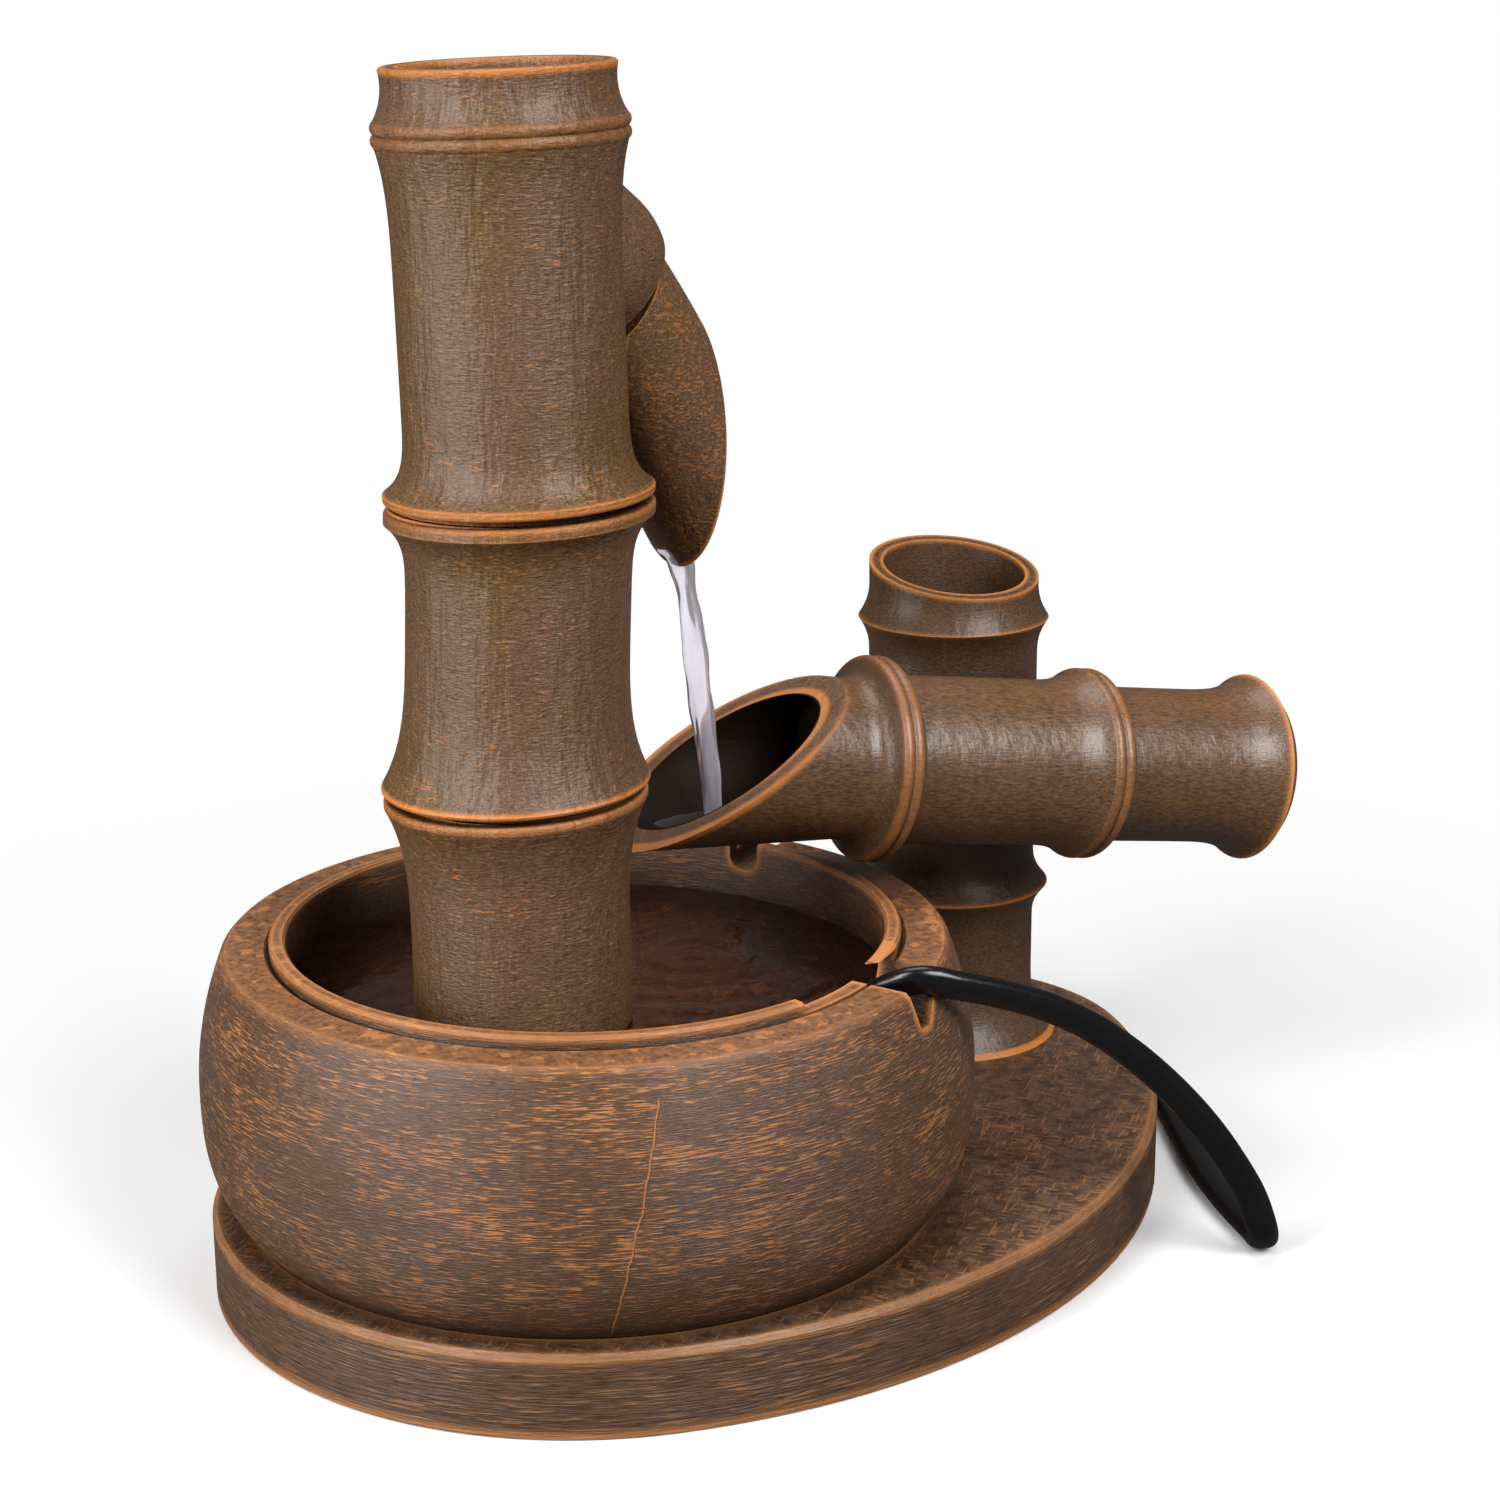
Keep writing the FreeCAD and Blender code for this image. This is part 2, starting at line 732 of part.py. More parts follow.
def branch_stub():
    """Branch stub with a rounded, slightly narrower lip, its end at height 0."""
    slip = (stub_r - stub_lip_r) / 4
    lip_z = -stub_edge_round
    return turned(
        (0, -stub_length), [(stub_r, -stub_length)], [(stub_r, -stub_lip_run)],
        [(stub_r - slip, (lip_z - stub_lip_run) / 2), (stub_lip_r, lip_z)],
        [(stub_lip_r - stub_edge_round, 0)],
        [(0, 0)])


def make_column_upper():
    """Top length: a cup above a septum, with the branch stub that carries the spout."""
    end, direction = stub_axis()
    body = upper_body().fuse(along(branch_stub(), end, direction)).cut(cup_hollow())
    body = stacked_foot(body, column_2_top_z, column_2_bore_r)
    body = body.cut(rod(column_3_bore_r, column_2_top_z + spigot_length, septum_z))
    socket = rod(spout_spigot_r + spout_fit, -stub_socket_depth, spout_wall + spout_joint)
    bore = rod(stub_bore_r, -stub_length - past / 4, spout_wall)
    for cutter in (socket, bore):
        body = body.cut(along(cutter, end, direction))
    hole = rod(grommet_neck_r + grommet_gap, septum_z - grommet_flange, septum_top_z + grommet_flange)
    body = body.cut(placed(hole, nozzle_offset()))
    return placed(body, column_at)


def nozzle_offset():
    """Where the pump's nozzle and the hose stand, from the column's axis."""
    turn = math.radians(pump_azimuth)
    return Vec(math.cos(turn), math.sin(turn), 0) * nozzle_from_axis


def spout_path():
    """Centreline of the spout: a short straight lead, a slight bend and a straight run."""
    turn = math.radians(spout_azimuth)
    out = Vec(math.cos(turn), math.sin(turn), 0)
    ways = []
    for slope in (spout_start_slope, (spout_start_slope + spout_slope) / 2, spout_slope):
        ways.append(out * math.cos(math.radians(slope)) - UP * math.sin(math.radians(slope)))
    start = out * spout_start[0] + UP * spout_start[1]
    knee = start + ways[1] * spout_bend_chord
    sagitta = spout_bend_chord / 2 * math.tan(math.radians(spout_slope - spout_start_slope) / 4)
    middle = (start + knee) * 0.5 + UP.cross(out).cross(ways[1]) * -sagitta
    return Part.Wire([
        Part.LineSegment(start - ways[0] * spout_lead, start).toShape(),
        Part.Arc(start, middle, knee).toShape(),
        Part.LineSegment(knee, knee + ways[2] * spout_run).toShape()])


def spout_solid(start_r, end_r):
    """Solid swept along the spout's centreline, widening to its end."""
    path = spout_path()
    rings = []
    for edge, at_end, r in ((path.Edges[0], False, start_r), (path.Edges[-1], True, end_r)):
        spot = edge.LastParameter if at_end else edge.FirstParameter
        circle = Part.makeCircle(r, edge.valueAt(spot), edge.tangentAt(spot))
        rings.append(Part.Wire([circle]))
    return outward(path.makePipeShell(rings, True, False))


def make_spout():
    """Spout cut off upright in front, so that its mouth is a long leaf shape."""
    end, direction = stub_axis()
    reach = 3 * stub_r
    hollow = spout_solid(spout_start_r - spout_wall, spout_end_r - spout_wall)
    hollow = hollow.cut(along(rod(reach, -reach, spout_wall), end, direction))
    spout = spout_solid(spout_start_r, spout_end_r).cut(hollow)
    spout = spout.cut(along(rod(reach, -reach, spout_joint), end, direction))
    cope = rod(column_3_mid_r + spout_cope_gap, septum_z, column_3_node_z)
    spout = spout.cut(leaned(cope, column_2_top_z, column_3_top_z, column_3_lean))
    spigot = rod(spout_spigot_r, -spout_spigot_length, spout_wall)
    spout = spout.fuse(along(spigot, end, direction))
    passage = rod(spout_spigot_r - spout_spigot_wall, -2 * spout_spigot_length, 2 * spout_wall)
    spout = spout.cut(along(passage, end, direction))
    front = block(spout_mouth_reach, spout_mouth_reach + reach, -reach, reach, 0, column_3_top_z)
    spout = spout.cut(placed(front, Vec(0, 0, 0), spout_azimuth))
    return placed(spout, column_at)


def make_hose_grommet():
    """Rubber ring that seals the hose in the septum."""
    g = grommet_gap
    ring = turned(
        (grommet_bore_r, septum_z - grommet_flange - g),
        [(grommet_flange_r, septum_z - grommet_flange - g)],
        [(grommet_flange_r, septum_z - g)],
        [(grommet_neck_r, septum_z - g)],
        [(grommet_neck_r, septum_top_z + g)],
        [(grommet_flange_r, septum_top_z + g)],
        [(grommet_flange_r, septum_top_z + grommet_flange + g)],
        [(grommet_bore_r, septum_top_z + grommet_flange + g)])
    return placed(ring, column_at + nozzle_offset())


def make_hose():
    """Straight riser from the pump's nozzle into the cup."""
    low = pump_floor_z + pump_height + nozzle_height - hose_over_nozzle
    riser = tube(hose_r, hose_bore_r, low, septum_top_z + hose_top_over_septum)
    return placed(riser, column_at + nozzle_offset())


def node_bulge(z, r, run):
    """Points of one node on the post: a swelling up to a sharp ring and down again."""
    rise = power_curve((r, z), (post_r, z - run), post_node_power, 4)
    rise.reverse()
    fall = power_curve((r, z), (post_r, z + run), post_node_power, 4)
    return rise + [(r, z)], fall


def make_post():
    """Post with two nodes, a flared foot, a slanted open top and the boss for the axle."""
    foot_top = base_top_z + post_foot_height
    foot = power_curve((post_foot_r, base_top_z), (post_r, foot_top), post_foot_power)
    low_rise, low_fall = node_bulge(post_low_node_z, post_low_node_r, post_low_node_run)
    high_rise, high_fall = node_bulge(post_high_node_z, post_high_node_r, post_high_node_run)
    top = post_rim_z + post_rim_r
    post = turned(
        (0, base_top_z), [(post_foot_r, base_top_z)], foot,
        [low_rise[0]], low_rise[1:], low_fall,
        [high_rise[0]], high_rise[1:], high_fall,
        [(post_rim_r, top)], [(post_bore_r, top)],
        [(post_bore_r, base_top_z + post_floor_thickness)],
        [(0, base_top_z + post_floor_thickness)])
    lid = block(-2 * post_r, 2 * post_r, -2 * post_r, 2 * post_r, 0, 2 * post_r)
    lid = placed(lid, Vec(0, 0, 0), 0, -post_rim_tilt)
    post = post.cut(placed(lid, Vec(0, 0, post_rim_z), post_rim_azimuth))
    post = placed(post, post_at)
    boss = Part.makeCylinder(
        post_boss_r, post_boss_stands_out + post_wall, pivot_at + arm_back * boss_face, arm_back)
    hollow = placed(rod(post_bore_r, 0, post_rim_z), post_at)
    post = post.fuse(boss.cut(hollow))
    reach = arm_stand_off + 2 * post_r
    return post.cut(Part.makeCylinder(axle_r + axle_press, reach, pivot_at, arm_back))


def arm_frame(shape):
    """Copy of a shape drawn with ring 1 at the origin and the tail along +X, hung at the pivot."""
    turn = FreeCAD.Rotation(arm_azimuth, arm_tilt, 0)
    copy = shape.copy()
    start = pivot_at - turn.multVec(Vec(pivot_along_arm, 0, 0))
    copy.Placement = FreeCAD.Placement(start, turn).multiply(copy.Placement)
    return copy


def turned_along(start, *runs):
    """Solid turned about +X from an outline of (distance, radius) points."""
    wire = outline(start, runs, lambda s, r: Vec(s, r, 0))
    return outward(Part.Face(wire).revolve(Vec(0, 0, 0), Vec(1, 0, 0), 360))


def ring_runs(at, r, from_s, from_r, after_r):
    """Runs of one ring on the arm: a slow swelling, the paired ridges and a short fall."""
    root = r - ridge_height
    half = ridge_pitch / 2
    swell = power_curve((root, at - ridge_pitch), (from_r, from_s), arm_ring_power)
    swell = [(s, radius) for radius, s in reversed(swell)][1:] + [(at - ridge_pitch, root)]
    return [
        swell,
        [(at - half, r), (at, root)],
        [(at + half, r), (at + ridge_pitch, root)],
        [(at + ridge_pitch + arm_ring_fall, after_r)]]


def make_rocker_arm():
    """Scoop, body and tail as one length, with the septum and the boss for the bush."""
    tail = power_curve(
        (arm_tail_flare_r, arm_tail_edge), (arm_tail_r, arm_tail_waist), arm_tail_power)
    tail = [(s, r) for r, s in reversed(tail)][1:] + [(arm_tail_edge, arm_tail_flare_r)]
    ring_1 = ring_runs(arm_ring_1, arm_ring_1_r, arm_neck, arm_neck_r, arm_body_r)
    swell_from = arm_ring_2 - arm_ring_2_run
    ring_2 = ring_runs(arm_ring_2, arm_ring_2_r, swell_from, arm_body_r, arm_tail_r)
    end_r = arm_tail_flare_r - arm_tail_end + arm_tail_edge
    arm = turned_along(
        (arm_scoop_end, 0), [(arm_scoop_end, arm_scoop_r)], [(arm_neck, arm_neck_r)],
        *ring_1, [(swell_from, arm_body_r)], *ring_2, [(arm_tail_waist, arm_tail_r)], tail,
        [(arm_tail_end, end_r)], [(arm_tail_end, 0)])
    narrowing = (arm_scoop_r - arm_neck_r) / (arm_neck - arm_scoop_end)
    scoop_bore_r = arm_scoop_r - arm_scoop_wall
    scoop_hollow = turned_along(
        (arm_scoop_end, 0), [(arm_scoop_end, scoop_bore_r)],
        [(arm_septum, scoop_bore_r - narrowing * (arm_septum - arm_scoop_end))], [(arm_septum, 0)])
    bore_r = arm_tail_r - arm_wall
    tail_hollow = turned_along(
        (arm_septum + arm_septum_thickness, 0), [(arm_septum + arm_septum_thickness, bore_r)],
        [(arm_tail_end, bore_r)], [(arm_tail_end, 0)])
    arm = arm.cut(scoop_hollow).cut(tail_hollow).cut(scoop_cutter())
    boss_start = Vec(pivot_along_arm, bore_r - arm_boss_depth, 0)
    boss = Part.makeCylinder(arm_boss_r, arm_boss_depth + arm_wall, boss_start, Vec(0, 1, 0))
    shell = turned_along(
        (0, 0), [(0, arm_body_r)], [(arm_tail_waist, arm_body_r)], [(arm_tail_waist, 0)])
    arm = arm.fuse(boss.common(shell))
    bush_hole = Part.makeCylinder(
        bush_r + bush_press, 2 * arm_body_r, Vec(pivot_along_arm, 0, 0), Vec(0, 1, 0))
    spot_face = Part.makeCylinder(
        bush_flange_r + bush_seat_margin, arm_body_r, Vec(pivot_along_arm, arm_body_r, 0), Vec(0, 1, 0))
    return arm_frame(arm.cut(bush_hole).cut(spot_face))


def scoop_cutter():
    """Cutter above the scoop's slanted, slightly hollow mouth."""
    top, middle, tip = scoop_cut_top, scoop_cut_middle, scoop_cut_tip
    reach = 2 * arm_scoop_r
    side = -reach
    start = (top[0], top[1])
    runs = [[middle, tip], [(tip[0] - reach, tip[1])], [(tip[0] - reach, reach)], [(top[0], reach)]]
    wire = outline(start, runs, lambda s, h: Vec(s, side, h))
    cutter = outward(Part.Face(wire).extrude(Vec(0, 2 * reach, 0)))
    cutter.rotate(Vec(0, 0, 0), Vec(1, 0, 0), scoop_cut_roll)
    return cutter


def on_axle(shape):
    """Copy of an upright shape laid on the pivot's axis, with +Z towards the post."""
    return along(shape, pivot_at, arm_back)


def arm_bush_end():
    """Distance from the arm's centreline to the bush's inner end."""
    return arm_tail_r - arm_wall - arm_boss_depth


def make_pivot_axle():
    """Headed steel pin pressed through both walls of the post."""
    start = arm_bush_end() - thrust_gap - push_nut_thickness - axle_stub
    back = arm_stand_off + post_r + glue_gap
    end = back + axle_head_thickness
    pin = turned(
        (0, start), [(axle_r, start)], [(axle_r, back)], [(axle_head_r, back)], [(axle_head_r, end)],
        [(0, end)])
    return on_axle(pin)


def make_pivot_bush():
    """Flanged nylon bush in the arm's back wall."""
    bore = axle_r + axle_running
    bush = turned(
        (bore, arm_bush_end()), [(bush_r, arm_bush_end())],
        [(bush_r, arm_body_r + glue_gap)], [(bush_flange_r, arm_body_r + glue_gap)],
        [(bush_flange_r, bush_face)], [(bore, bush_face)])
    return on_axle(bush)


def make_axle_washer():
    """Thrust washer between the bush and the post's boss."""
    low = (bush_face + boss_face - washer_thickness) / 2
    return on_axle(tube(washer_r, axle_r + axle_running, low, low + washer_thickness))


def make_push_nut():
    """Pressed ring that keeps the arm on the axle."""
    high = arm_bush_end() - thrust_gap
    return on_axle(tube(push_nut_r, axle_r + axle_press, high - push_nut_thickness, high))


def make_rest_bumper():
    """Rubber saddle on the post that the arm's tail side rests on."""
    s = pivot_along_arm + rest_from_pivot
    half = rest_length / 2
    pad = block(s - half, s + half, rest_depth / 2, rest_depth * 2, -rest_low, -rest_high)
    clear = turned_along(
        (0, 0), [(0, arm_ring_2_r + rest_gap)], [(arm_tail_end, arm_ring_2_r + rest_gap)],
        [(arm_tail_end, 0)])
    pad = arm_frame(pad.cut(clear))
    return pad.cut(placed(rod(post_r + glue_gap, 0, post_rim_z), post_at))


def make_counterweight():
    """Clay plug that closes the tail and makes it the heavy end."""
    end = arm_tail_end - weight_inset
    r = arm_tail_r - arm_wall - weight_gap
    plug = Part.makeCylinder(r, weight_length, Vec(end - weight_length, 0, 0), Vec(1, 0, 0))
    return arm_frame(plug)


def pump_frame(shape):
    """Copy of a shape drawn with the rotor's axis along +X, set on the bowl's floor."""
    return placed(shape, column_at + UP * pump_mid_z, pump_azimuth)


def lying(r, start, end):
    """Cylinder along +X between two distances."""
    return Part.makeCylinder(r, end - start, Vec(start, 0, 0), Vec(1, 0, 0))


def rounded_block(x0, x1, y, z):
    """Box about the rotor's axis with its upright outer edges rounded."""
    body = block(x0, x1, -y / 2, y / 2, -z / 2, z / 2)
    ends = {-pump_back, cover_front}
    edges = []
    for edge in body.Edges:
        box = edge.BoundBox
        upright = box.ZLength > z / 2 and box.XLength < pump_wall
        if upright and any(abs(box.XMin - end) < pump_wall for end in ends):
            edges.append(edge)
    return body.makeFillet(pump_edge_round, edges)


def core_outline(grow):
    """U-shaped laminated core, or the pocket for it when it is grown."""
    half = core_height / 2 + grow
    legs = []
    for side in (1, -1):
        y = [side * (core_leg_inner - grow), side * (core_leg_inner + core_leg + grow)]
        legs.append(block(-core_back - grow, core_front + grow, min(y), max(y), -half, half))
    y = core_leg_inner + core_leg + grow
    yoke = block(-core_back - grow, -core_back + core_leg + grow, -y, y, -half, half)
    return yoke.fuse(legs[0]).fuse(legs[1])


def winding_outline(grow):
    """Winding round the core's yoke."""
    g = winding_growth + grow
    half = core_height / 2 + g
    y = core_leg_inner - core_gap + grow
    return block(-core_back - g, -core_back + core_leg + g, -y, y, -half, half)


def make_pump_housing():
    """Pump body with the rotor's well, the pockets for core and winding, and feet sockets."""
    body = rounded_block(-pump_back, pump_front, pump_width, pump_height)
    body = body.cut(lying(rotor_well_r, -rotor_well_back, pump_front))
    seat = lying(shaft_bush_r + bush_seat_gap, -rotor_well_back - shaft_bush_length, -rotor_well_back)
    body = body.cut(seat).cut(core_outline(core_gap)).cut(winding_outline(core_gap))
    body = pump_frame(body)
    for stud in feet_studs(bush_seat_gap):
        body = body.cut(stud)
    hole_start = gland_at() - gland_direction() * pump_wall
    hole = Part.makeCylinder(cord_r + gland_fit, pump_wall, hole_start, gland_direction())
    return body.cut(hole)


def make_motor_core():
    """Laminated iron core."""
    return pump_frame(core_outline(0))


def make_motor_coil():
    """Winding on the core's yoke."""
    half = core_height / 2 + core_gap
    y = core_leg_inner
    yoke = block(-core_back - core_gap, -core_back + core_leg + core_gap, -y, y, -half, half)
    return pump_frame(winding_outline(0).cut(yoke))


def feet_spots():
    """Where the pump's suction feet stand, in the pump's frame."""
    x = pump_back - pump_edge_round
    y = pump_width / 2 - pump_feet_r
    return [(-x, y), (-x, -y), (pump_front - pump_feet_r, y), (pump_front - pump_feet_r, -y)]


def feet_studs(grow):
    """Studs of the feet in the housing's floor, or the holes for them when they are grown."""
    stud = rod(pump_feet_neck_r + grow, -pump_height / 2, -pump_height / 2 + pump_feet_stud + grow)
    return [pump_frame(placed(stud, Vec(x, y, 0))) for x, y in feet_spots()]


def make_pump_feet():
    """Four suction feet."""
    low = -pump_height / 2 - pump_feet_height
    feet = []
    for x, y in feet_spots():
        foot = turned(
            (0, low), [(pump_feet_r, low)], [(pump_feet_neck_r, low + pump_feet_height / 2)],
            [(pump_feet_neck_r, -pump_height / 2 + pump_feet_stud)],
            [(0, -pump_height / 2 + pump_feet_stud)])
        feet.append(pump_frame(placed(foot, Vec(x, y, 0))))
    return Part.makeCompound(feet)


def make_pump_cover():
    """Front cover: volute, nozzle, spoked intake and rails for the regulator."""
    cover = rounded_block(pump_front, cover_front, pump_width, pump_height)
    face_start = cover_front - cover_face
    cover = cover.cut(lying(volute_r, pump_front, face_start))
    nozzle = placed(rod(nozzle_r, 0, pump_height / 2 + nozzle_height), Vec(nozzle_from_axis, 0, 0))
    passage = placed(rod(nozzle_bore_r, 0, pump_height), Vec(nozzle_from_axis, 0, 0))
    cover = cover.fuse(nozzle.cut(lying(volute_r, pump_front, face_start))).cut(passage)
    ring = lying(intake_r, face_start, cover_front).cut(lying(intake_boss_r, face_start, cover_front))
    for i in range(intake_spokes):
        spoke = block(
            face_start, cover_front, 0, intake_r * 2, -intake_spoke / 2, intake_spoke / 2)
        spoke.rotate(Vec(0, 0, 0), Vec(1, 0, 0), 360.0 * i / intake_spokes)
        ring = ring.cut(spoke)
    cover = cover.cut(ring)
    cover = cover.cut(lying(front_bush_r + bush_seat_gap, face_start, bush_ends()[1][1]))
    for side in (1, -1):
        cover = cover.fuse(regulator_rail(side))
    return pump_frame(cover)


def regulator_rail(side):
    """L-shaped rail on one side of the regulator."""
    y0 = regulator_width / 2 + regulator_gap
    x1 = cover_front + regulator_thickness + 2 * regulator_gap
    half = regulator_height / 2
    web = [side * y0, side * (y0 + rail_width)]
    lip = [side * (y0 - rail_lip), side * (y0 + rail_width)]
    rail = block(cover_front, x1, min(web), max(web), -half, half)
    return rail.fuse(block(x1, x1 + rail_lip, min(lip), max(lip), -half, half))


def make_flow_regulator():
    """Sliding shutter in front of the intake."""
    x0 = cover_front + regulator_gap
    half_y = regulator_width / 2
    half_z = regulator_height / 2
    plate = block(x0, x0 + regulator_thickness, -half_y, half_y, -half_z, half_z)
    window = lying(intake_r - intake_spoke, x0, x0 + regulator_thickness)
    tab = block(
        x0 + regulator_thickness, x0 + regulator_thickness + regulator_tab,
        -half_y / 2, half_y / 2, half_z - regulator_tab, half_z)
    return pump_frame(plate.cut(window).fuse(tab))


def make_impeller():
    """Magnet rotor with a hub of straight vanes."""
    start = -rotor_well_back + rotor_gap
    vane_start = pump_front + rotor_gap
    body = lying(rotor_r, start, pump_front - rotor_gap)
    body = body.fuse(lying(vane_hub_r, pump_front - rotor_gap, vane_start + vane_width))
    for i in range(vane_count):
        vane = block(
            vane_start, vane_start + vane_width, 0, vane_r, -vane_thickness / 2, vane_thickness / 2)
        vane.rotate(Vec(0, 0, 0), Vec(1, 0, 0), 360.0 * i / vane_count)
        body = body.fuse(vane)
    return pump_frame(body.cut(lying(shaft_r + rotor_bore_gap, start, vane_start + vane_width)))


def bush_ends():
    """Start and end of the rear and the front shaft bush, along the rotor's axis."""
    rear = (-rotor_well_back - shaft_bush_length, -rotor_well_back)
    return [rear, (cover_front - cover_face, cover_front - front_bush_inset)]


def make_impeller_shaft():
    """Ceramic shaft held in the two bushes."""
    ends = bush_ends()
    return pump_frame(lying(shaft_r, ends[0][0] + rotor_gap, ends[1][1] - rotor_gap))


def make_shaft_bushes():
    """Rubber bushes at the shaft's two ends."""
    rear, front = bush_ends()
    bushes = []
    for (start, end), r in ((rear, shaft_bush_r), (front, front_bush_r)):
        bushes.append(pump_frame(lying(r, start, end).cut(lying(shaft_r, start, end))))
    return Part.makeCompound(bushes)


def gland_direction():
    """Way in which the cord leaves the pump."""
    turn = math.radians(pump_azimuth + 180)
    return Vec(math.cos(turn), math.sin(turn), 0)


def gland_at():
    """Middle of the gland's seat on the pump's back."""
    return column_at + gland_direction() * pump_back + UP * gland_z


def gland_end():
    """Middle of the gland's outer face, where the cord starts."""
    return gland_at() + gland_direction() * gland_length


def make_pump_gland():
    """Tapered rubber gland on the pump's back."""
    gland = turned(
        (0, 0), [(gland_base_r, 0)], [(gland_tip_r, gland_length)], [(0, gland_length)])
    return along(gland, gland_at(), gland_direction())


def from_bowl(point):
    """A point given from the bowl's axis, in the part's frame."""
    z = point[2] if len(point) > 2 else cord_floor_z
    return Vec(bowl_x + point[0], point[1], z)


def arc_over_corner(before, corner, after):
    """Ends and middle of the arc that rounds one corner of a route."""
    back = before - corner
    ahead = after - corner
    run = min(back.Length, ahead.Length)
    back.normalize()
    ahead.normalize()
    half_turn = (math.pi - back.getAngle(ahead)) / 2
    cut = 0.45 * run
    radius = cut / math.tan(half_turn)
    inward = (back + ahead).normalize()
    depth = radius / math.cos(half_turn) - radius
    return corner + back * cut, corner + inward * depth, corner + ahead * cut, radius


def rounded_route(points, name):
    """Wire of straight runs joined by tangent arcs, with its radii printed."""
    edges = []
    radii = []
    here = points[0]
    for before, corner, after in zip(points, points[1:], points[2:]):
        start, middle, end, radius = arc_over_corner(before, corner, after)
        edges.append(Part.LineSegment(here, start).toShape())
        edges.append(Part.Arc(start, middle, end).toShape())
        radii.append(round(radius, 1))
        here = end
    edges.append(Part.LineSegment(here, points[-1]).toShape())
    print(name, "radii", radii)
    return Part.Wire(edges)


def swept_cord(path, name):
    """Round cord along a path, with its volume compared with section times length."""
    start = path.Edges[0]
    spot = start.FirstParameter
    circle = Part.makeCircle(cord_r, start.valueAt(spot), start.tangentAt(spot))
    solid = outward(path.makePipeShell([Part.Wire([circle])], True, False))
    expected = math.pi * cord_r ** 2 * path.Length
    print(name, "length", round(path.Length, 1), "volume over expected", round(solid.Volume / expected, 4))
    return solid


def make_cord_in_bowl():
    """Cord from the pump's gland, over the bowl's floor and up to the notch."""
    start = gland_end()
    points = [start, start + gland_direction() * cord_first_run]
    points += [from_bowl(p) for p in cord_in_bowl_route + cord_free_route[:1]]
    return swept_cord(rounded_route(points, "cord in bowl"), "cord in bowl")


def make_cord_free():
    """Cord from the notch down to the floor, round behind the post and on to the coil."""
    coil_start = coil_point(0.0)
    points = [from_bowl(p) for p in cord_free_route + cord_floor_route]
    points.append(coil_start - coil_heading(0.0) * coil_lead)
    return swept_cord(rounded_route(points, "cord free"), "cord free")


def coil_point(turn):
    """Centre of the coil's cord after a number of turns."""
    over = coil_turns_in + coil_turns_over
    inner = coil_outer_r - coil_pitch * coil_turns_in
    if turn <= coil_turns_in:
        r = coil_outer_r - coil_pitch * turn
        layer = 0.0
    elif turn < over:
        r = inner - coil_pitch * (coil_turns_over / 2 - abs(turn - (coil_turns_in + over) / 2))
        layer = (turn - coil_turns_in) / coil_turns_over
    else:
        r = inner + coil_pitch * (turn - over)
        layer = 1.0
    angle = 2 * math.pi * turn
    return Vec(
        bowl_x + coil_centre[0] + r * math.cos(angle), coil_centre[1] + r * math.sin(angle),
        cord_floor_z + coil_layer_height * layer)


def coil_heading(turn):
    """Level direction of the coil's cord after a number of turns."""
    angle = 2 * math.pi * turn
    return Vec(-math.sin(angle), math.cos(angle), 0)


def arc_between(start, corner, end):
    """Arc from start to end whose two tangents meet at a corner."""
    middle = (start + end) * 0.5
    half = math.atan2((corner - middle).Length, (end - start).Length / 2)
    share = math.tan(half / 2) / math.tan(half)
    return Part.Arc(start, middle + (corner - middle) * share, end).toShape()


def biarc(start, start_way, end, end_way):
    """Two tangent arcs between two points with given directions."""
    chord = end - start
    both = start_way + end_way
    spread = 2 * (1 - start_way.dot(end_way))
    lean = chord.dot(both)
    reach = (math.sqrt(lean * lean + spread * chord.dot(chord)) - lean) / spread
    corner_1 = start + start_way * reach
    corner_2 = end - end_way * reach
    join = (corner_1 + corner_2) * 0.5
    return [arc_between(start, corner_1, join), arc_between(join, corner_2, end)]


def coil_turns():
    """Number of turns in the whole coil."""
    return coil_turns_in + coil_turns_over + coil_turns_out


def coil_stations():
    """Points and directions of the coil at steady parts of a turn; it climbs between two of them."""
    count = round(coil_turns() * coil_stations_per_turn)
    turns = [i / coil_stations_per_turn for i in range(count + 1)]
    points = [coil_point(turn) for turn in turns]
    ways = [coil_heading(turns[0])]
    for i in range(1, count):
        way = points[i + 1] - points[i - 1]
        if not coil_turns_in < turns[i] < coil_turns_in + coil_turns_over:
            way.z = 0
        ways.append(way.normalize())
    ways.append(coil_heading(turns[-1]))
    return points, ways


def print_least_gap(path):
    """Print the least gap between stretches of the coil that lie apart along it."""
    count = int(path.Length / cord_r)
    points = path.discretize(count)
    apart = int(6 * cord_r / (path.Length / count))
    least = min(
        points[i].distanceToPoint(points[j]) for i in range(count) for j in range(i + apart, count))
    print("coil least gap", round(least - 2 * cord_r, 2))


def make_cord_coil():
    """The spare cord, coiled in two layers of loops."""
    points, ways = coil_stations()
    edges = [Part.LineSegment(points[0] - ways[0] * coil_lead, points[0]).toShape()]
    for i in range(len(points) - 1):
        edges += biarc(points[i], ways[i], points[i + 1], ways[i + 1])
    edges.append(Part.LineSegment(points[-1], points[-1] + ways[-1] * coil_lead).toShape())
    path = Part.Wire(edges)
    print_least_gap(path)
    return swept_cord(path, "cord coil")


def plug_start():
    """Where the cord enters the plug's strain relief."""
    return from_bowl((plug_at[0], plug_at[1], plug_thickness / 2 + plug_floor_gap))


def make_cord_tail():
    """Short stretch from the coil's top layer, over the cord, down to the plug."""
    start = coil_point(coil_turns()) + coil_heading(coil_turns()) * coil_lead
    points = [start] + [from_bowl(p) for p in tail_route] + [plug_start()]
    return swept_cord(rounded_route(points, "cord tail"), "cord tail")


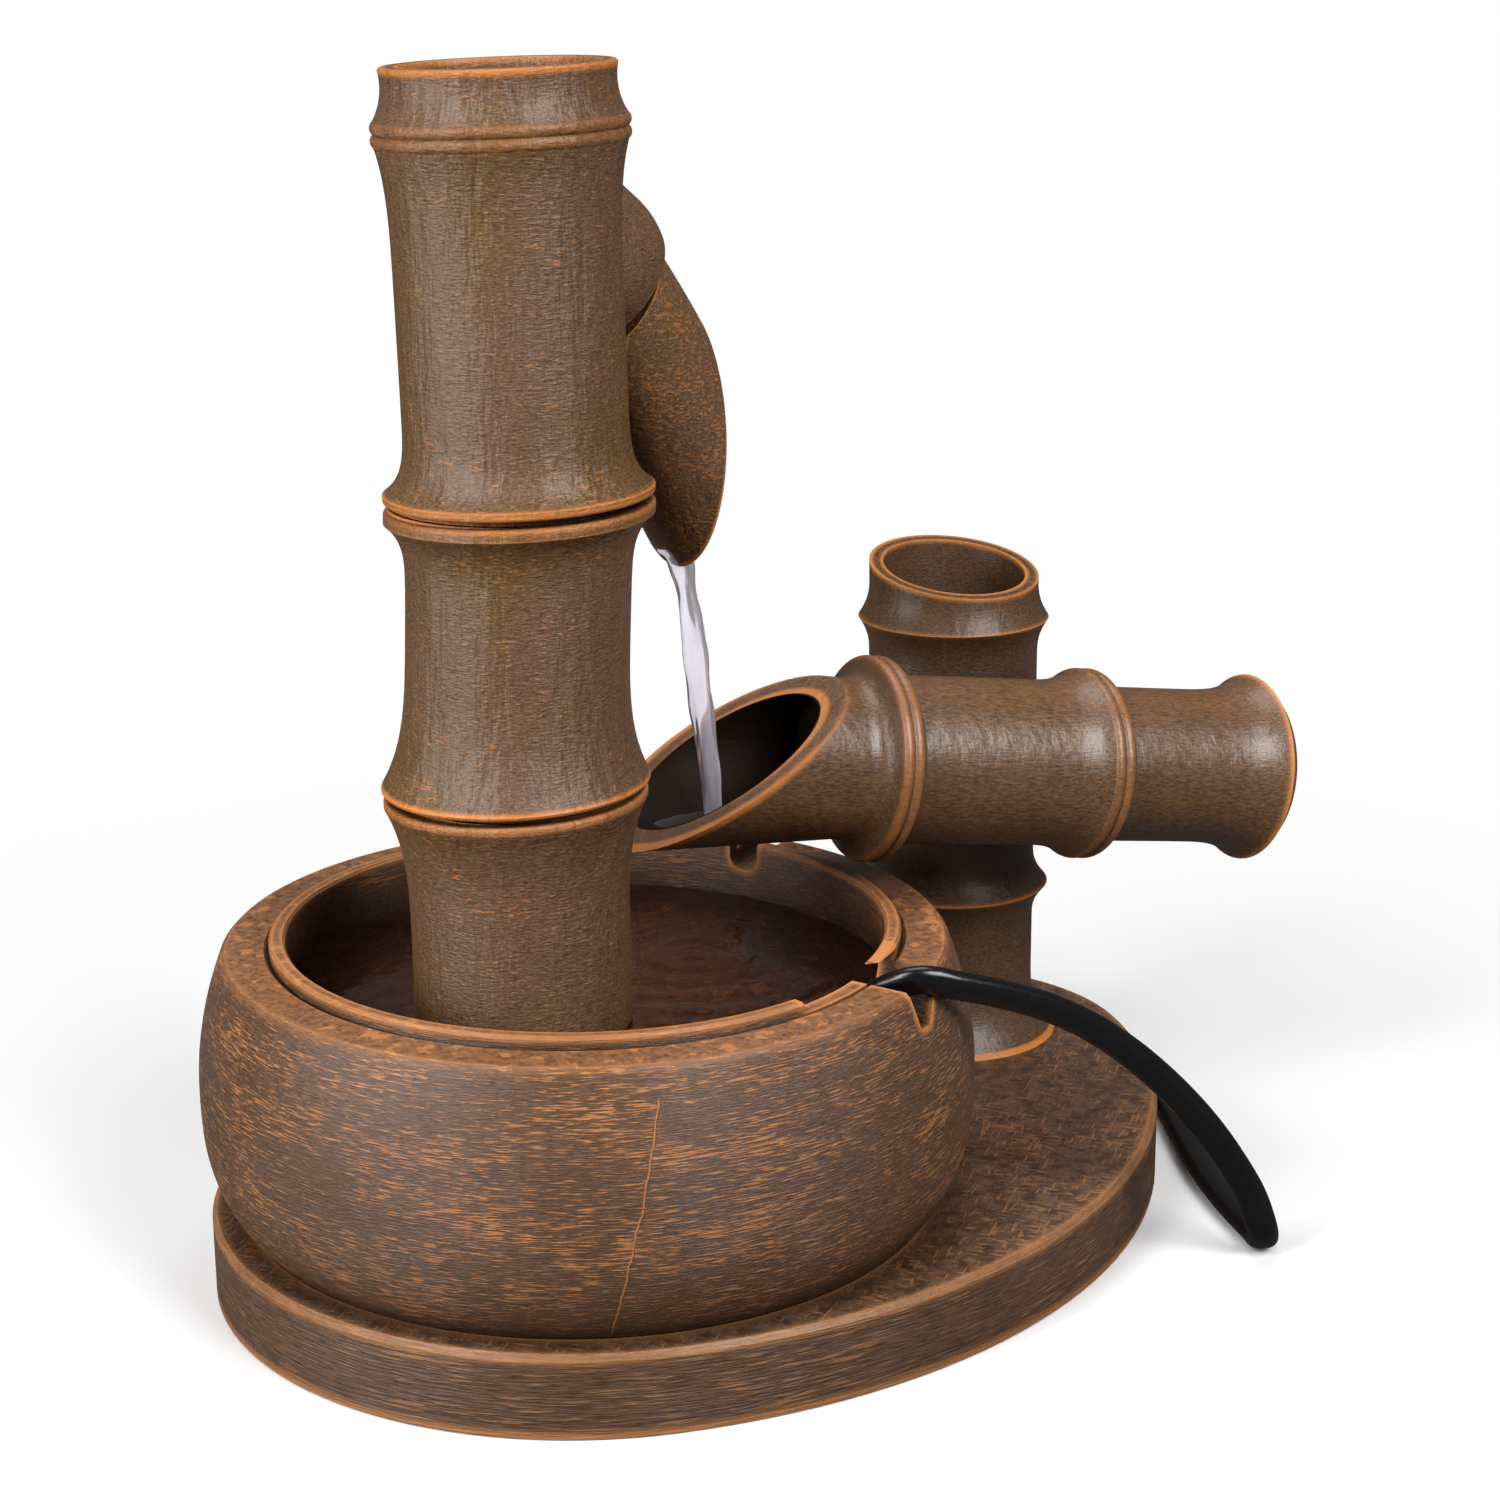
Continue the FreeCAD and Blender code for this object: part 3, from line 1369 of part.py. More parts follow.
def make_plug_body():
    """Flat plug with a narrow grip, and its moulded strain relief."""
    half = plug_thickness / 2
    grip_end = plug_relief_length + plug_length - plug_face_length
    w0 = plug_neck_width / 2
    w1 = plug_width / 2
    s0 = plug_relief_length
    corners = [
        (s0, -w0), (s0 + plug_face_length, -w0 - plug_waist / 2), (grip_end, -w1),
        (grip_end + plug_face_length, -w1), (grip_end + plug_face_length, w1), (grip_end, w1),
        (s0 + plug_face_length, w0 + plug_waist / 2), (s0, w0)]
    points = [Vec(s, w, -half) for s, w in corners]
    body = Part.Face(Part.makePolygon(points + [points[0]])).extrude(UP * plug_thickness)
    start_r = cord_r + gland_fit
    relief = Part.makeCone(start_r, plug_relief_r, plug_relief_length, Vec(0, 0, 0), Vec(1, 0, 0))
    body = body.fuse(relief)
    for side in (1, -1):
        hole = lying(pin_r, grip_end + plug_face_length - pin_root, grip_end + plug_face_length)
        hole.translate(Vec(0, side * pin_spacing / 2, 0))
        body = body.cut(hole)
    return placed(body, plug_start())


def make_plug_pins():
    """Two round pins with domed ends."""
    face = plug_relief_length + plug_length
    pins = []
    for side in (1, -1):
        pin = lying(pin_r, face - pin_root, face + pin_length - pin_r)
        pin = pin.fuse(Part.makeSphere(pin_r, Vec(face + pin_length - pin_r, 0, 0)))
        pin.translate(Vec(0, side * pin_spacing / 2, 0))
        pins.append(placed(pin, plug_start()))
    return Part.makeCompound(pins)


MAKERS = {
    "base_plate": make_base_plate,
    "base_pads": make_base_pads,
    "bowl": make_bowl,
    "column_lower": make_column_lower,
    "column_middle": make_column_middle,
    "column_upper": make_column_upper,
    "spout": make_spout,
    "hose_grommet": make_hose_grommet,
    "hose": make_hose,
    "post": make_post,
    "rocker_arm": make_rocker_arm,
    "pivot_axle": make_pivot_axle,
    "pivot_bush": make_pivot_bush,
    "axle_washer": make_axle_washer,
    "push_nut": make_push_nut,
    "rest_bumper": make_rest_bumper,
    "counterweight": make_counterweight,
    "pump_housing": make_pump_housing,
    "motor_core": make_motor_core,
    "motor_coil": make_motor_coil,
    "pump_feet": make_pump_feet,
    "pump_cover": make_pump_cover,
    "flow_regulator": make_flow_regulator,
    "impeller": make_impeller,
    "impeller_shaft": make_impeller_shaft,
    "shaft_bushes": make_shaft_bushes,
    "pump_gland": make_pump_gland,
    "cord_in_bowl": make_cord_in_bowl,
    "cord_free": make_cord_free,
    "cord_coil": make_cord_coil,
    "cord_tail": make_cord_tail,
    "plug_body": make_plug_body,
    "plug_pins": make_plug_pins,
}


def main():
    """Make every piece and write each to its own file."""
    os.makedirs("parts", exist_ok=True)
    for name, maker in MAKERS.items():
        shape = maker()
        shape.exportStep(os.path.join("parts", name + ".step"))
        print(name, "solids", len(shape.Solids), "valid", shape.isValid(), "volume", round(shape.Volume))


main()
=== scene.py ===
"""Dressing of the rocking bamboo fountain: glazes, mains cord, water, light and camera."""
import logging
import math
from dataclasses import dataclass, field
from enum import Enum

import bpy
from mathutils import Euler, Matrix, Vector


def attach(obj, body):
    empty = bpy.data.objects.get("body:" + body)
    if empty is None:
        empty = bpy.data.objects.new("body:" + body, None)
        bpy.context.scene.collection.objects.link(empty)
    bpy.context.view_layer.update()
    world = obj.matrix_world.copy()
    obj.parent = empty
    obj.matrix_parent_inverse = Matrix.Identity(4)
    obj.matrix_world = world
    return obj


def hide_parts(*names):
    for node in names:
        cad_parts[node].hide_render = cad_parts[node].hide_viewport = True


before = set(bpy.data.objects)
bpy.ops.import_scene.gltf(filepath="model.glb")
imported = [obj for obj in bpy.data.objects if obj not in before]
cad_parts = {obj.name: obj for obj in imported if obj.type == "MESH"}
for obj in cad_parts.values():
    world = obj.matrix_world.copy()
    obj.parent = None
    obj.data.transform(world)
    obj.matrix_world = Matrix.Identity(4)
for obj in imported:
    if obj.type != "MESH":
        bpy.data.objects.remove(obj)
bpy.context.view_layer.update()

Node = bpy.types.Node
Piece = bpy.types.Object
Finish = bpy.types.Material
Tree = bpy.types.NodeTree
Socket = bpy.types.NodeSocket
Colour = tuple[float, float, float, float]
Place = tuple[float, float, float]
Spot = tuple[float, float]
Band = tuple[float, float]
Face = tuple[int, ...]

MM = 0.001
BOWL_X = -45.9
SCOOP_MIDDLE: Place = (75.91, -44.95, 104.94)
UP: Place = (0.0, 0.0, 1.0)
BLACK: Colour = (0.0, 0.0, 0.0, 1.0)
WHITE: Colour = (1.0, 1.0, 1.0, 1.0)
NOISE_MIDDLE = 0.5
LOG = logging.getLogger("fountain")


class Marks(Enum):
    """Which way the fine marks run over a glazed piece."""

    TURNED = "level strokes all round, as left by turning"
    WOVEN = "level strokes on the side, crossed ones on the top, as left by a cloth"


class Kind(Enum):
    """What a socket of a shared effect carries."""

    VALUE = "NodeSocketFloat"
    COLOUR = "NodeSocketColor"
    PLACE = "NodeSocketVector"


@dataclass(frozen=True)
class Noise:
    """How fine, how detailed and how rough a noise is."""

    scale: float = 1.0
    detail: float = 2.0
    rough: float = 0.5


@dataclass(frozen=True)
class Wave:
    """Sine wave over one measure or two, with its radians per unit of each."""

    height: float
    first: float
    second: float = 0.0
    start: float = 0.0

    def at(self, a: float, b: float = 0.0) -> float:
        """Height of the wave at the measures a and b."""
        return self.height * math.sin(self.first * a + self.second * b + self.start)


class Graph:
    """Adds nodes to one node tree and links them by socket name."""

    def __init__(self, tree: Tree) -> None:
        """Keep the tree that the nodes go into."""
        self.tree = tree

    def add(self, kind: str, inputs: dict | None = None, **settings: object) -> Node:
        """Add one node.

        Args:
            kind: Blender's name of the node type.
            inputs: Socket name or number to a value or to another node's output.
            settings: Properties of the node.

        Returns:
            The new node.
        """
        node = self.tree.nodes.new(kind)
        for name, value in settings.items():
            setattr(node, name, value)
        for key, value in (inputs or {}).items():
            self.feed(node.inputs[key], value)
        return node

    def feed(self, socket: Socket, value: object) -> None:
        """Link an output to a socket, or set the socket's value.

        Args:
            socket: The input.
            value: Another node's output, or a value.
        """
        if isinstance(value, Socket):
            self.tree.links.new(value, socket)
        else:
            socket.default_value = value

    def math(self, operation: str, a: float | Socket, b: float | Socket = 0.0) -> Socket:
        """Add a Math node and return its value."""
        return self.add("ShaderNodeMath", {0: a, 1: b}, operation=operation).outputs[0]

    def vector(self, operation: str, a: Socket, b: Vector | None = None) -> Node:
        """Add a Vector Math node and return it."""
        places = {0: a} if b is None else {0: a, 1: b}
        return self.add("ShaderNodeVectorMath", places, operation=operation)

    def blend(self, share: float | Socket, a: Colour | Socket, b: Colour | Socket) -> Socket:
        """Mix two colours and return the mixed colour."""
        return self.add("ShaderNodeMix", {0: share, 6: a, 7: b}, data_type="RGBA").outputs[2]

    def noise(self, place: Socket, noise: Noise) -> Socket:
        """Add a Noise Texture and return its grey value."""
        inputs = {"Vector": place, "Scale": noise.scale, "Detail": noise.detail, "Roughness": noise.rough}
        return self.add("ShaderNodeTexNoise", inputs).outputs["Fac"]

    def step(self, value: Socket, low: float | Socket, high: float | Socket) -> Socket:
        """Smooth step of a value from 0 at low to 1 at high."""
        inputs = {"Value": value, "From Min": low, "From Max": high}
        return self.add("ShaderNodeMapRange", inputs, interpolation_type="SMOOTHSTEP").outputs[0]

    def turned(self, place: Socket, turn: Euler) -> Socket:
        """Turn a place about the origin."""
        return self.add("ShaderNodeMapping", {"Vector": place, "Rotation": turn}).outputs[0]

    def scaled(self, place: Socket, scale: Place) -> Socket:
        """Scale a place per axis, which draws a noise out along the axes of a small scale."""
        return self.add("ShaderNodeMapping", {"Vector": place, "Scale": scale}).outputs[0]

    def effect(self, tree: Tree, **inputs: object) -> Node:
        """Add a shared effect.

        Args:
            tree: The effect's node group.
            inputs: What goes into its inputs, under their names in lower case.

        Returns:
            The group node.
        """
        group = self.add("ShaderNodeGroup", node_tree=tree)
        for name, value in inputs.items():
            self.feed(group.inputs[name.capitalize()], value)
        return group


@dataclass
class Effect:
    """A shader node group in the making."""

    name: str
    inputs: dict[str, Kind]
    outputs: dict[str, Kind]
    graph: Graph = field(init=False)
    start: Node = field(init=False)
    end: Node = field(init=False)

    def __post_init__(self) -> None:
        """Make the empty group with its sockets."""
        tree = bpy.data.node_groups.new(self.name, "ShaderNodeTree")
        for side, sockets in (("INPUT", self.inputs), ("OUTPUT", self.outputs)):
            for label, kind in sockets.items():
                tree.interface.new_socket(label, in_out=side, socket_type=kind.value)
        self.graph = Graph(tree)
        self.start = self.graph.add("NodeGroupInput")
        self.end = self.graph.add("NodeGroupOutput")

    def finish(self, **outputs: Socket) -> Tree:
        """Link the outputs.

        Args:
            outputs: What goes out, under the outputs' names in lower case.

        Returns:
            The finished group.
        """
        for name, value in outputs.items():
            self.graph.feed(self.end.inputs[name.capitalize()], value)
        return self.graph.tree


@dataclass(frozen=True)
class EdgeWearAndShade:
    """Effect that finds outer edges, rubbed through to copper, and recesses, where shade is painted."""

    patches: Noise = Noise(130.0, 5.0, 0.75)
    edge_samples: int = 6
    edge_band: Band = (0.08, 0.36)
    painted_shade_samples: int = 4
    painted_shade_band: Band = (0.25, 0.8)

    def make(self) -> Tree:
        """Build the group.

        Returns:
            The group, with a mask of the edges and one of the recesses, where shade is painted.
        """
        # Besides the edge wear, the group puts out a recess mask that is painted shade.
        effect = Effect(
            "edge_wear", {"Place": Kind.PLACE, "Width": Kind.VALUE, "Wear": Kind.VALUE, "Depth": Kind.VALUE},
            {"Edge": Kind.VALUE, "Recess": Kind.VALUE})
        graph, start = effect.graph, effect.start.outputs
        inner = graph.add(
            "ShaderNodeAmbientOcclusion", {"Distance": start["Width"]}, samples=self.edge_samples,
            inside=True, only_local=True)
        patchy = graph.noise(start["Place"], self.patches)
        edge = graph.math("SUBTRACT", 1.0, inner.outputs["AO"])
        edge = graph.math("MULTIPLY", edge, graph.math("ADD", patchy, start["Wear"]))
        # Painted shade: an occlusion test out to the given depth marks where nearby surfaces close the piece
        # in.
        outer = graph.add(
            "ShaderNodeAmbientOcclusion", {"Distance": start["Depth"]}, samples=self.painted_shade_samples)
        occlusion_shade = graph.math("SUBTRACT", 1.0, outer.outputs["AO"])
        return effect.finish(
            edge=graph.step(edge, *self.edge_band), recess=graph.step(occlusion_shade, *self.painted_shade_band))


@dataclass(frozen=True)
class DrawnStrokes:
    """Effect of fine drawn-out strokes, which are rubbed in patches."""

    fine: Noise = Noise(1.0, 3.0, 0.6)
    patch_size: Place = (34.0, 34.0, 120.0)
    patches: Noise = Noise(1.0, 4.0, 0.6)
    patch_share: float = 0.36
    highest: float = 0.74
    cover_share: float = 0.34
    edge: float = 0.09

    def make(self) -> Tree:
        """Build the group.

        Returns:
            The group, with a mask of the rubbed strokes and a height of all.
        """
        effect = Effect(
            "drawn_strokes", {"Place": Kind.PLACE, "Drawn": Kind.PLACE, "Cover": Kind.VALUE},
            {"Mask": Kind.VALUE, "Height": Kind.VALUE})
        graph, start = effect.graph, effect.start.outputs
        fine = graph.noise(start["Drawn"], self.fine)
        wide = graph.scaled(start["Place"], self.patch_size)
        patch = graph.math("SUBTRACT", graph.noise(wide, self.patches), NOISE_MIDDLE)
        level = graph.math("ADD", fine, graph.math("MULTIPLY", patch, self.patch_share))
        fall = graph.math("MULTIPLY", start["Cover"], self.cover_share)
        floor = graph.math("SUBTRACT", self.highest, fall)
        mask = graph.step(level, floor, graph.math("ADD", floor, self.edge))
        return effect.finish(mask=mask, height=fine)


@dataclass(frozen=True)
class GlazeTones:
    """Effect that clouds two glaze tones into each other, with a fine grain along the strokes."""

    clouds: Noise = Noise(24.0, 4.0, 0.6)
    cloud_band: Band = (0.36, 0.62)
    grain: Noise = Noise(2.3, 3.0, 0.7)
    grain_band: Band = (0.35, 0.65)
    dark: Colour = (0.018, 0.009, 0.004, 1.0)
    dark_share: float = 0.5
    light: Colour = (0.4, 0.21, 0.1, 1.0)
    light_share: float = 0.14

    def make(self) -> Tree:
        """Build the group.

        Returns:
            The group, with the glaze's colour and its grain.
        """
        effect = Effect(
            "glaze_tones",
            {"Place": Kind.PLACE, "Drawn": Kind.PLACE, "Ground": Kind.COLOUR, "Cloud": Kind.COLOUR},
            {"Color": Kind.COLOUR, "Grain": Kind.VALUE})
        graph, start = effect.graph, effect.start.outputs
        cloud = graph.step(graph.noise(start["Place"], self.clouds), *self.cloud_band)
        tone = graph.blend(cloud, start["Ground"], start["Cloud"])
        grain = graph.noise(start["Drawn"], self.grain)
        dark = graph.blend(self.dark_share, tone, self.dark)
        light = graph.blend(self.light_share, tone, self.light)
        colour = graph.blend(graph.step(grain, *self.grain_band), dark, light)
        return effect.finish(color=colour, grain=grain)


@dataclass(frozen=True)
class GlazeRuns:
    """Effect of soft upright runs and small lumps in the glaze."""

    run_size: Place = (230.0, 230.0, 42.0)
    runs: Noise = Noise(1.0, 3.0, 0.6)
    lumps: Noise = Noise(420.0, 2.0, 0.5)
    lump_share: float = 0.2

    def make(self) -> Tree:
        """Build the group.

        Returns:
            The group, with the height of both.
        """
        effect = Effect("glaze_runs", {"Place": Kind.PLACE}, {"Height": Kind.VALUE})
        graph, start = effect.graph, effect.start.outputs
        runs = graph.noise(graph.scaled(start["Place"], self.run_size), self.runs)
        lumps = graph.noise(start["Place"], self.lumps)
        height = graph.math("ADD", runs, graph.math("MULTIPLY", lumps, self.lump_share))
        return effect.finish(height=height)


@dataclass
class SharedEffects:
    """The node groups that more than one finish uses."""

    wear: Tree = field(default_factory=EdgeWearAndShade().make)
    strokes: Tree = field(default_factory=DrawnStrokes().make)
    tones: Tree = field(default_factory=GlazeTones().make)
    runs: Tree = field(default_factory=GlazeRuns().make)


def new_material(name: str) -> tuple[Finish, Graph, Node]:
    """Make a material with a bare Principled shader.

    Args:
        name: The material's name.

    Returns:
        The material, its graph and its shader.
    """
    material = bpy.data.materials.new(name)
    material.use_nodes = True
    return material, Graph(material.node_tree), material.node_tree.nodes["Principled BSDF"]


def dress(material: Finish, *nodes: str) -> None:
    """Put a material on nodes that are carried over from the frame.

    Args:
        material: The material.
        nodes: The nodes' names.
    """
    for node in nodes:
        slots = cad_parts[node].data.materials
        slots.clear()
        slots.append(material)


@dataclass(frozen=True)
class Glaze:
    """Satin glaze in umber tones, rubbed through to copper on edges and along fine strokes, with painted
    shade in recesses.
    """

    name: str
    ground: Colour = (0.108, 0.057, 0.016, 1.0)
    cloud: Colour = (0.120, 0.061, 0.034, 1.0)
    copper: Colour = (0.52, 0.178, 0.036, 1.0)
    # Colour of the painted shade in recesses and bores.
    painted_shade: Colour = (0.014, 0.007, 0.003, 1.0)
    axis: Place = UP
    marks: Marks = Marks.TURNED
    stroke_size: Place = (400.0, 400.0, 1700.0)
    cover: float = 0.36
    stroke_tone: float = 0.45
    stroke_height: float = 0.3
    cloth_skew: float = -24.0
    cloth_sizes: tuple[Place, Place] = ((160.0, 1100.0, 900.0), (1100.0, 200.0, 900.0))
    edge_width: float = 0.0021
    edge_wear: float = 0.5
    top_wear: float = 0.0
    top_band: Band = (0.7, 0.95)
    top_noise: Noise = Noise(520.0, 4.0, 0.7)
    top_noise_band: Band = (0.3, 0.62)
    scar_tone: float = 0.7
    scar_height: float = 0.4
    # Reach of the occlusion test for painted shade, and how far that shade darkens the colour.
    painted_shade_depth: float = 0.016
    painted_shade_share: float = 0.75
    lump_height: float = 1.3
    grain_height: float = 0.06
    roughness: float = 0.38
    grain_roughness: float = 0.16
    rubbed_roughness: float = 0.14
    # Within a bore, the painted shade adds roughness and metallic, so that the bore shows no shine.
    bore_roughness: float = 0.3
    bore_metal: float = 0.85
    coat: float = 0.08
    coat_roughness: float = 0.28
    shine: float = 0.38

    def drawn(self, graph: Graph, place: Socket, size: Place) -> Socket:
        """Place in strokes: turned so that the piece's axis is upright, then scaled per axis."""
        turn = Vector(self.axis).rotation_difference(Vector(UP)).to_euler()
        return graph.scaled(graph.turned(place, turn), size)

    def upward(self, graph: Graph) -> Socket:
        """1 on faces that look up, 0 on the others."""
        facing = graph.add("ShaderNodeNewGeometry").outputs["Normal"]
        return graph.step(graph.add("ShaderNodeSeparateXYZ", {0: facing}).outputs["Z"], *self.top_band)

    def strokes(self, graph: Graph, effects: SharedEffects, place: Socket) -> tuple[Socket, Socket]:
        """Mask and height of the strokes.

        Args:
            graph: The material's graph.
            effects: The shared node groups.
            place: Place on the piece.

        Returns:
            The mask of rubbed strokes and the height of all.
        """
        drawn = self.drawn(graph, place, self.stroke_size)
        level = graph.effect(effects.strokes, place=place, drawn=drawn, cover=self.cover)
        if self.marks is Marks.TURNED:
            return level.outputs["Mask"], level.outputs["Height"]
        skewed = graph.turned(place, Euler((0.0, 0.0, math.radians(self.cloth_skew))))
        one, two = (
            graph.effect(effects.strokes, place=place, drawn=graph.scaled(skewed, size), cover=self.cover)
            for size in self.cloth_sizes)
        top = self.upward(graph)
        pair = []
        for name in ("Mask", "Height"):
            cloth = graph.math("MAXIMUM", one.outputs[name], two.outputs[name])
            flip = graph.add("ShaderNodeMix", {0: top, 2: level.outputs[name], 3: cloth})
            pair.append(flip.outputs[0])
        return pair[0], pair[1]

    def scars(self, graph: Graph, place: Socket) -> Socket | None:
        """Mask of single flaws, where the piece has any."""
        return None

    def inside(self, graph: Graph, place: Socket) -> Socket | None:
        """Mask of a bore painted dark as shade, where the piece has one."""
        return None

    def rubbed(self, graph: Graph, place: Socket, strokes: Socket, edges: Socket) -> Socket:
        """Mask of all that is rubbed through, apart from single flaws.

        Args:
            graph: The material's graph.
            place: Place on the piece.
            strokes: Mask of the rubbed strokes.
            edges: Mask of the rubbed edges.

        Returns:
            The mask.
        """
        rubbed = graph.math("MAXIMUM", graph.math("MULTIPLY", strokes, self.stroke_tone), edges)
        if self.top_wear:
            grazed = graph.math("MULTIPLY", self.upward(graph), self.top_wear)
            speckle = graph.step(graph.noise(place, self.top_noise), *self.top_noise_band)
            rubbed = graph.math("MAXIMUM", rubbed, graph.math("MULTIPLY", grazed, speckle))
        return rubbed

    def make(self, effects: SharedEffects) -> Finish:
        """Build the material.

        Args:
            effects: The shared node groups.

        Returns:
            The finished material.
        """
        material, graph, shader = new_material(self.name)
        place = graph.add("ShaderNodeTexCoord").outputs["Object"]
        drawn = self.drawn(graph, place, self.stroke_size)
        tones = graph.effect(effects.tones, place=place, drawn=drawn, ground=self.ground, cloud=self.cloud)
        mask, height = self.strokes(graph, effects, place)
        wear = graph.effect(
            effects.wear, place=place, width=self.edge_width, wear=self.edge_wear, depth=self.painted_shade_depth)
        runs = graph.effect(effects.runs, place=place)
        grain = tones.outputs["Grain"]
        relief = graph.math("MULTIPLY", height, self.stroke_height)
        relief = graph.math("ADD", relief, graph.math("MULTIPLY", grain, self.grain_height))
        relief = graph.math("ADD", relief, graph.math("MULTIPLY", runs.outputs["Height"], self.lump_height))
        rubbed = self.rubbed(graph, place, mask, wear.outputs["Edge"])
        scars = self.scars(graph, place)
        if scars is not None:
            rubbed = graph.math("MAXIMUM", rubbed, graph.math("MULTIPLY", scars, self.scar_tone))
            relief = graph.math("ADD", relief, graph.math("MULTIPLY", scars, self.scar_height))
        # Painted shade: recesses found by the occlusion test are darkened towards the shade colour.
        painted_shade = graph.math("MULTIPLY", wear.outputs["Recess"], self.painted_shade_share)
        rough = graph.math("MULTIPLY", grain, self.grain_roughness)
        rough = graph.math("ADD", self.roughness - self.grain_roughness / 2, rough)
        rough = graph.math("ADD", rough, graph.math("MULTIPLY", rubbed, self.rubbed_roughness))
        shader.inputs["Coat Weight"].default_value = self.coat
        # Painted shade inside the bore: full shade colour, more roughness, partly metallic and no coat, so
        # lamps don't show there.
        bore = self.inside(graph, place)
        if bore is not None:
            painted_shade = graph.math("MAXIMUM", painted_shade, bore)
            rough = graph.math("ADD", rough, graph.math("MULTIPLY", bore, self.bore_roughness))
            graph.feed(shader.inputs["Metallic"], graph.math("MULTIPLY", bore, self.bore_metal))
            coat = graph.math("MULTIPLY", graph.math("SUBTRACT", 1.0, bore), self.coat)
            graph.feed(shader.inputs["Coat Weight"], coat)
        colour = graph.blend(rubbed, tones.outputs["Color"], self.copper)
        graph.feed(shader.inputs["Base Color"], graph.blend(painted_shade, colour, self.painted_shade))
        graph.feed(shader.inputs["Roughness"], rough)
        shader.inputs["Specular IOR Level"].default_value = self.shine
        shader.inputs["Coat Roughness"].default_value = self.coat_roughness
        bump = graph.add("ShaderNodeBump", {"Height": relief, "Strength": 1.0, "Distance": MM})
        graph.feed(shader.inputs["Normal"], bump.outputs["Normal"])
        return material


@dataclass(frozen=True)
class CrackedGlaze(Glaze):
    """The bowl's glaze, with one hairline seam that runs down its front on a slant."""

    seam_azimuth: float = -125.07
    seam_top: float = 75.4
    seam_fade: float = 1.0
    seam_slant: float = 0.1343
    seam_noise: Noise = Noise(160.0, 4.0)
    seam_wander: float = 0.03
    seam_half_width: float = 0.004
    seam_core: float = 0.3

    def scars(self, graph: Graph, place: Socket) -> Socket:
        """Mask of the seam: points whose azimuth is close to a line that leans with height.

        Args:
            graph: The material's graph.
            place: Place on the piece.

        Returns:
            The mask.
        """
        parts = graph.add("ShaderNodeSeparateXYZ", {0: place}).outputs
        across = graph.math("SUBTRACT", parts["X"], BOWL_X * MM)
        azimuth = graph.math("ARCTAN2", parts["Y"], across)
        fall = graph.math("SUBTRACT", parts["Z"], self.seam_top * MM)
        slope = math.radians(self.seam_slant) / MM
        line = graph.math("ADD", graph.math("MULTIPLY", fall, slope), math.radians(self.seam_azimuth))
        wander = graph.noise(graph.scaled(place, UP), self.seam_noise)
        wander = graph.math("SUBTRACT", wander, NOISE_MIDDLE)
        line = graph.math("ADD", line, graph.math("MULTIPLY", wander, self.seam_wander))
        gap = graph.math("ABSOLUTE", graph.math("SUBTRACT", azimuth, line))
        near = graph.step(gap, self.seam_half_width, self.seam_half_width * self.seam_core)
        fade = (self.seam_top + self.seam_fade) * MM, (self.seam_top - self.seam_fade) * MM
        return graph.math("MULTIPLY", near, graph.step(parts["Z"], *fade))


@dataclass(frozen=True)
class ArmGlaze(Glaze):
    """The rocking arm's glaze, painted dark as shade and without shine within the scoop's tapered bore."""

    bore_middle: Place = SCOOP_MIDDLE
    bore_r: float = 10.27
    bore_taper: float = 0.0672
    bore_margins: Band = (0.4, 0.1)

    def inside(self, graph: Graph, place: Socket) -> Socket:
        """Mask of the bore, by the distance from its axis, where shade is painted.

        Args:
            graph: The material's graph.
            place: Place on the piece.

        Returns:
            The mask.
        """
        axis = Vector(self.axis).normalized()
        offset = graph.vector("SUBTRACT", place, Vector(self.bore_middle) * MM).outputs[0]
        across = graph.vector("CROSS_PRODUCT", offset, axis).outputs[0]
        away = graph.vector("LENGTH", across).outputs["Value"]
        along = graph.vector("DOT_PRODUCT", offset, axis).outputs["Value"]
        evened = graph.math("ADD", away, graph.math("MULTIPLY", along, self.bore_taper))
        outer, inner = ((self.bore_r + margin) * MM for margin in self.bore_margins)
        return graph.step(evened, outer, inner)


@dataclass(frozen=True)
class Plain:
    """Even material with a fine grain: felt, rubber, moulded plastic or metal."""

    name: str
    colour: Colour
    roughness: float = 0.5
    roughness_spread: float = 0.2
    metallic: float = 0.0
    coat: float = 0.0
    grain: float = 0.3
    grain_noise: Noise = Noise(1500.0, 3.0, 0.6)
    grain_depth: float = 0.2
    shade: float = 0.25
    shade_noise: Noise = Noise(60.0, 3.0, 0.6)
    shade_band: Band = (0.3, 0.7)

    def make(self) -> Finish:
        """Build the material.

        Returns:
            The finished material.
        """
        material, graph, shader = new_material(self.name)
        place = graph.add("ShaderNodeTexCoord").outputs["Object"]
        fine = graph.noise(place, self.grain_noise)
        light = graph.step(graph.noise(place, self.shade_noise), *self.shade_band)
        darker = tuple(value * (1.0 - self.shade) for value in self.colour[:3]) + (1.0,)
        graph.feed(shader.inputs["Base Color"], graph.blend(light, darker, self.colour))
        spread = graph.math("MULTIPLY", graph.math("SUBTRACT", fine, NOISE_MIDDLE), self.roughness_spread)
        graph.feed(shader.inputs["Roughness"], graph.math("ADD", spread, self.roughness))
        shader.inputs["Metallic"].default_value = self.metallic
        shader.inputs["Coat Weight"].default_value = self.coat
        relief = {"Height": fine, "Strength": self.grain, "Distance": self.grain_depth * MM}
        bump = graph.add("ShaderNodeBump", relief)
        graph.feed(shader.inputs["Normal"], bump.outputs["Normal"])
        return material


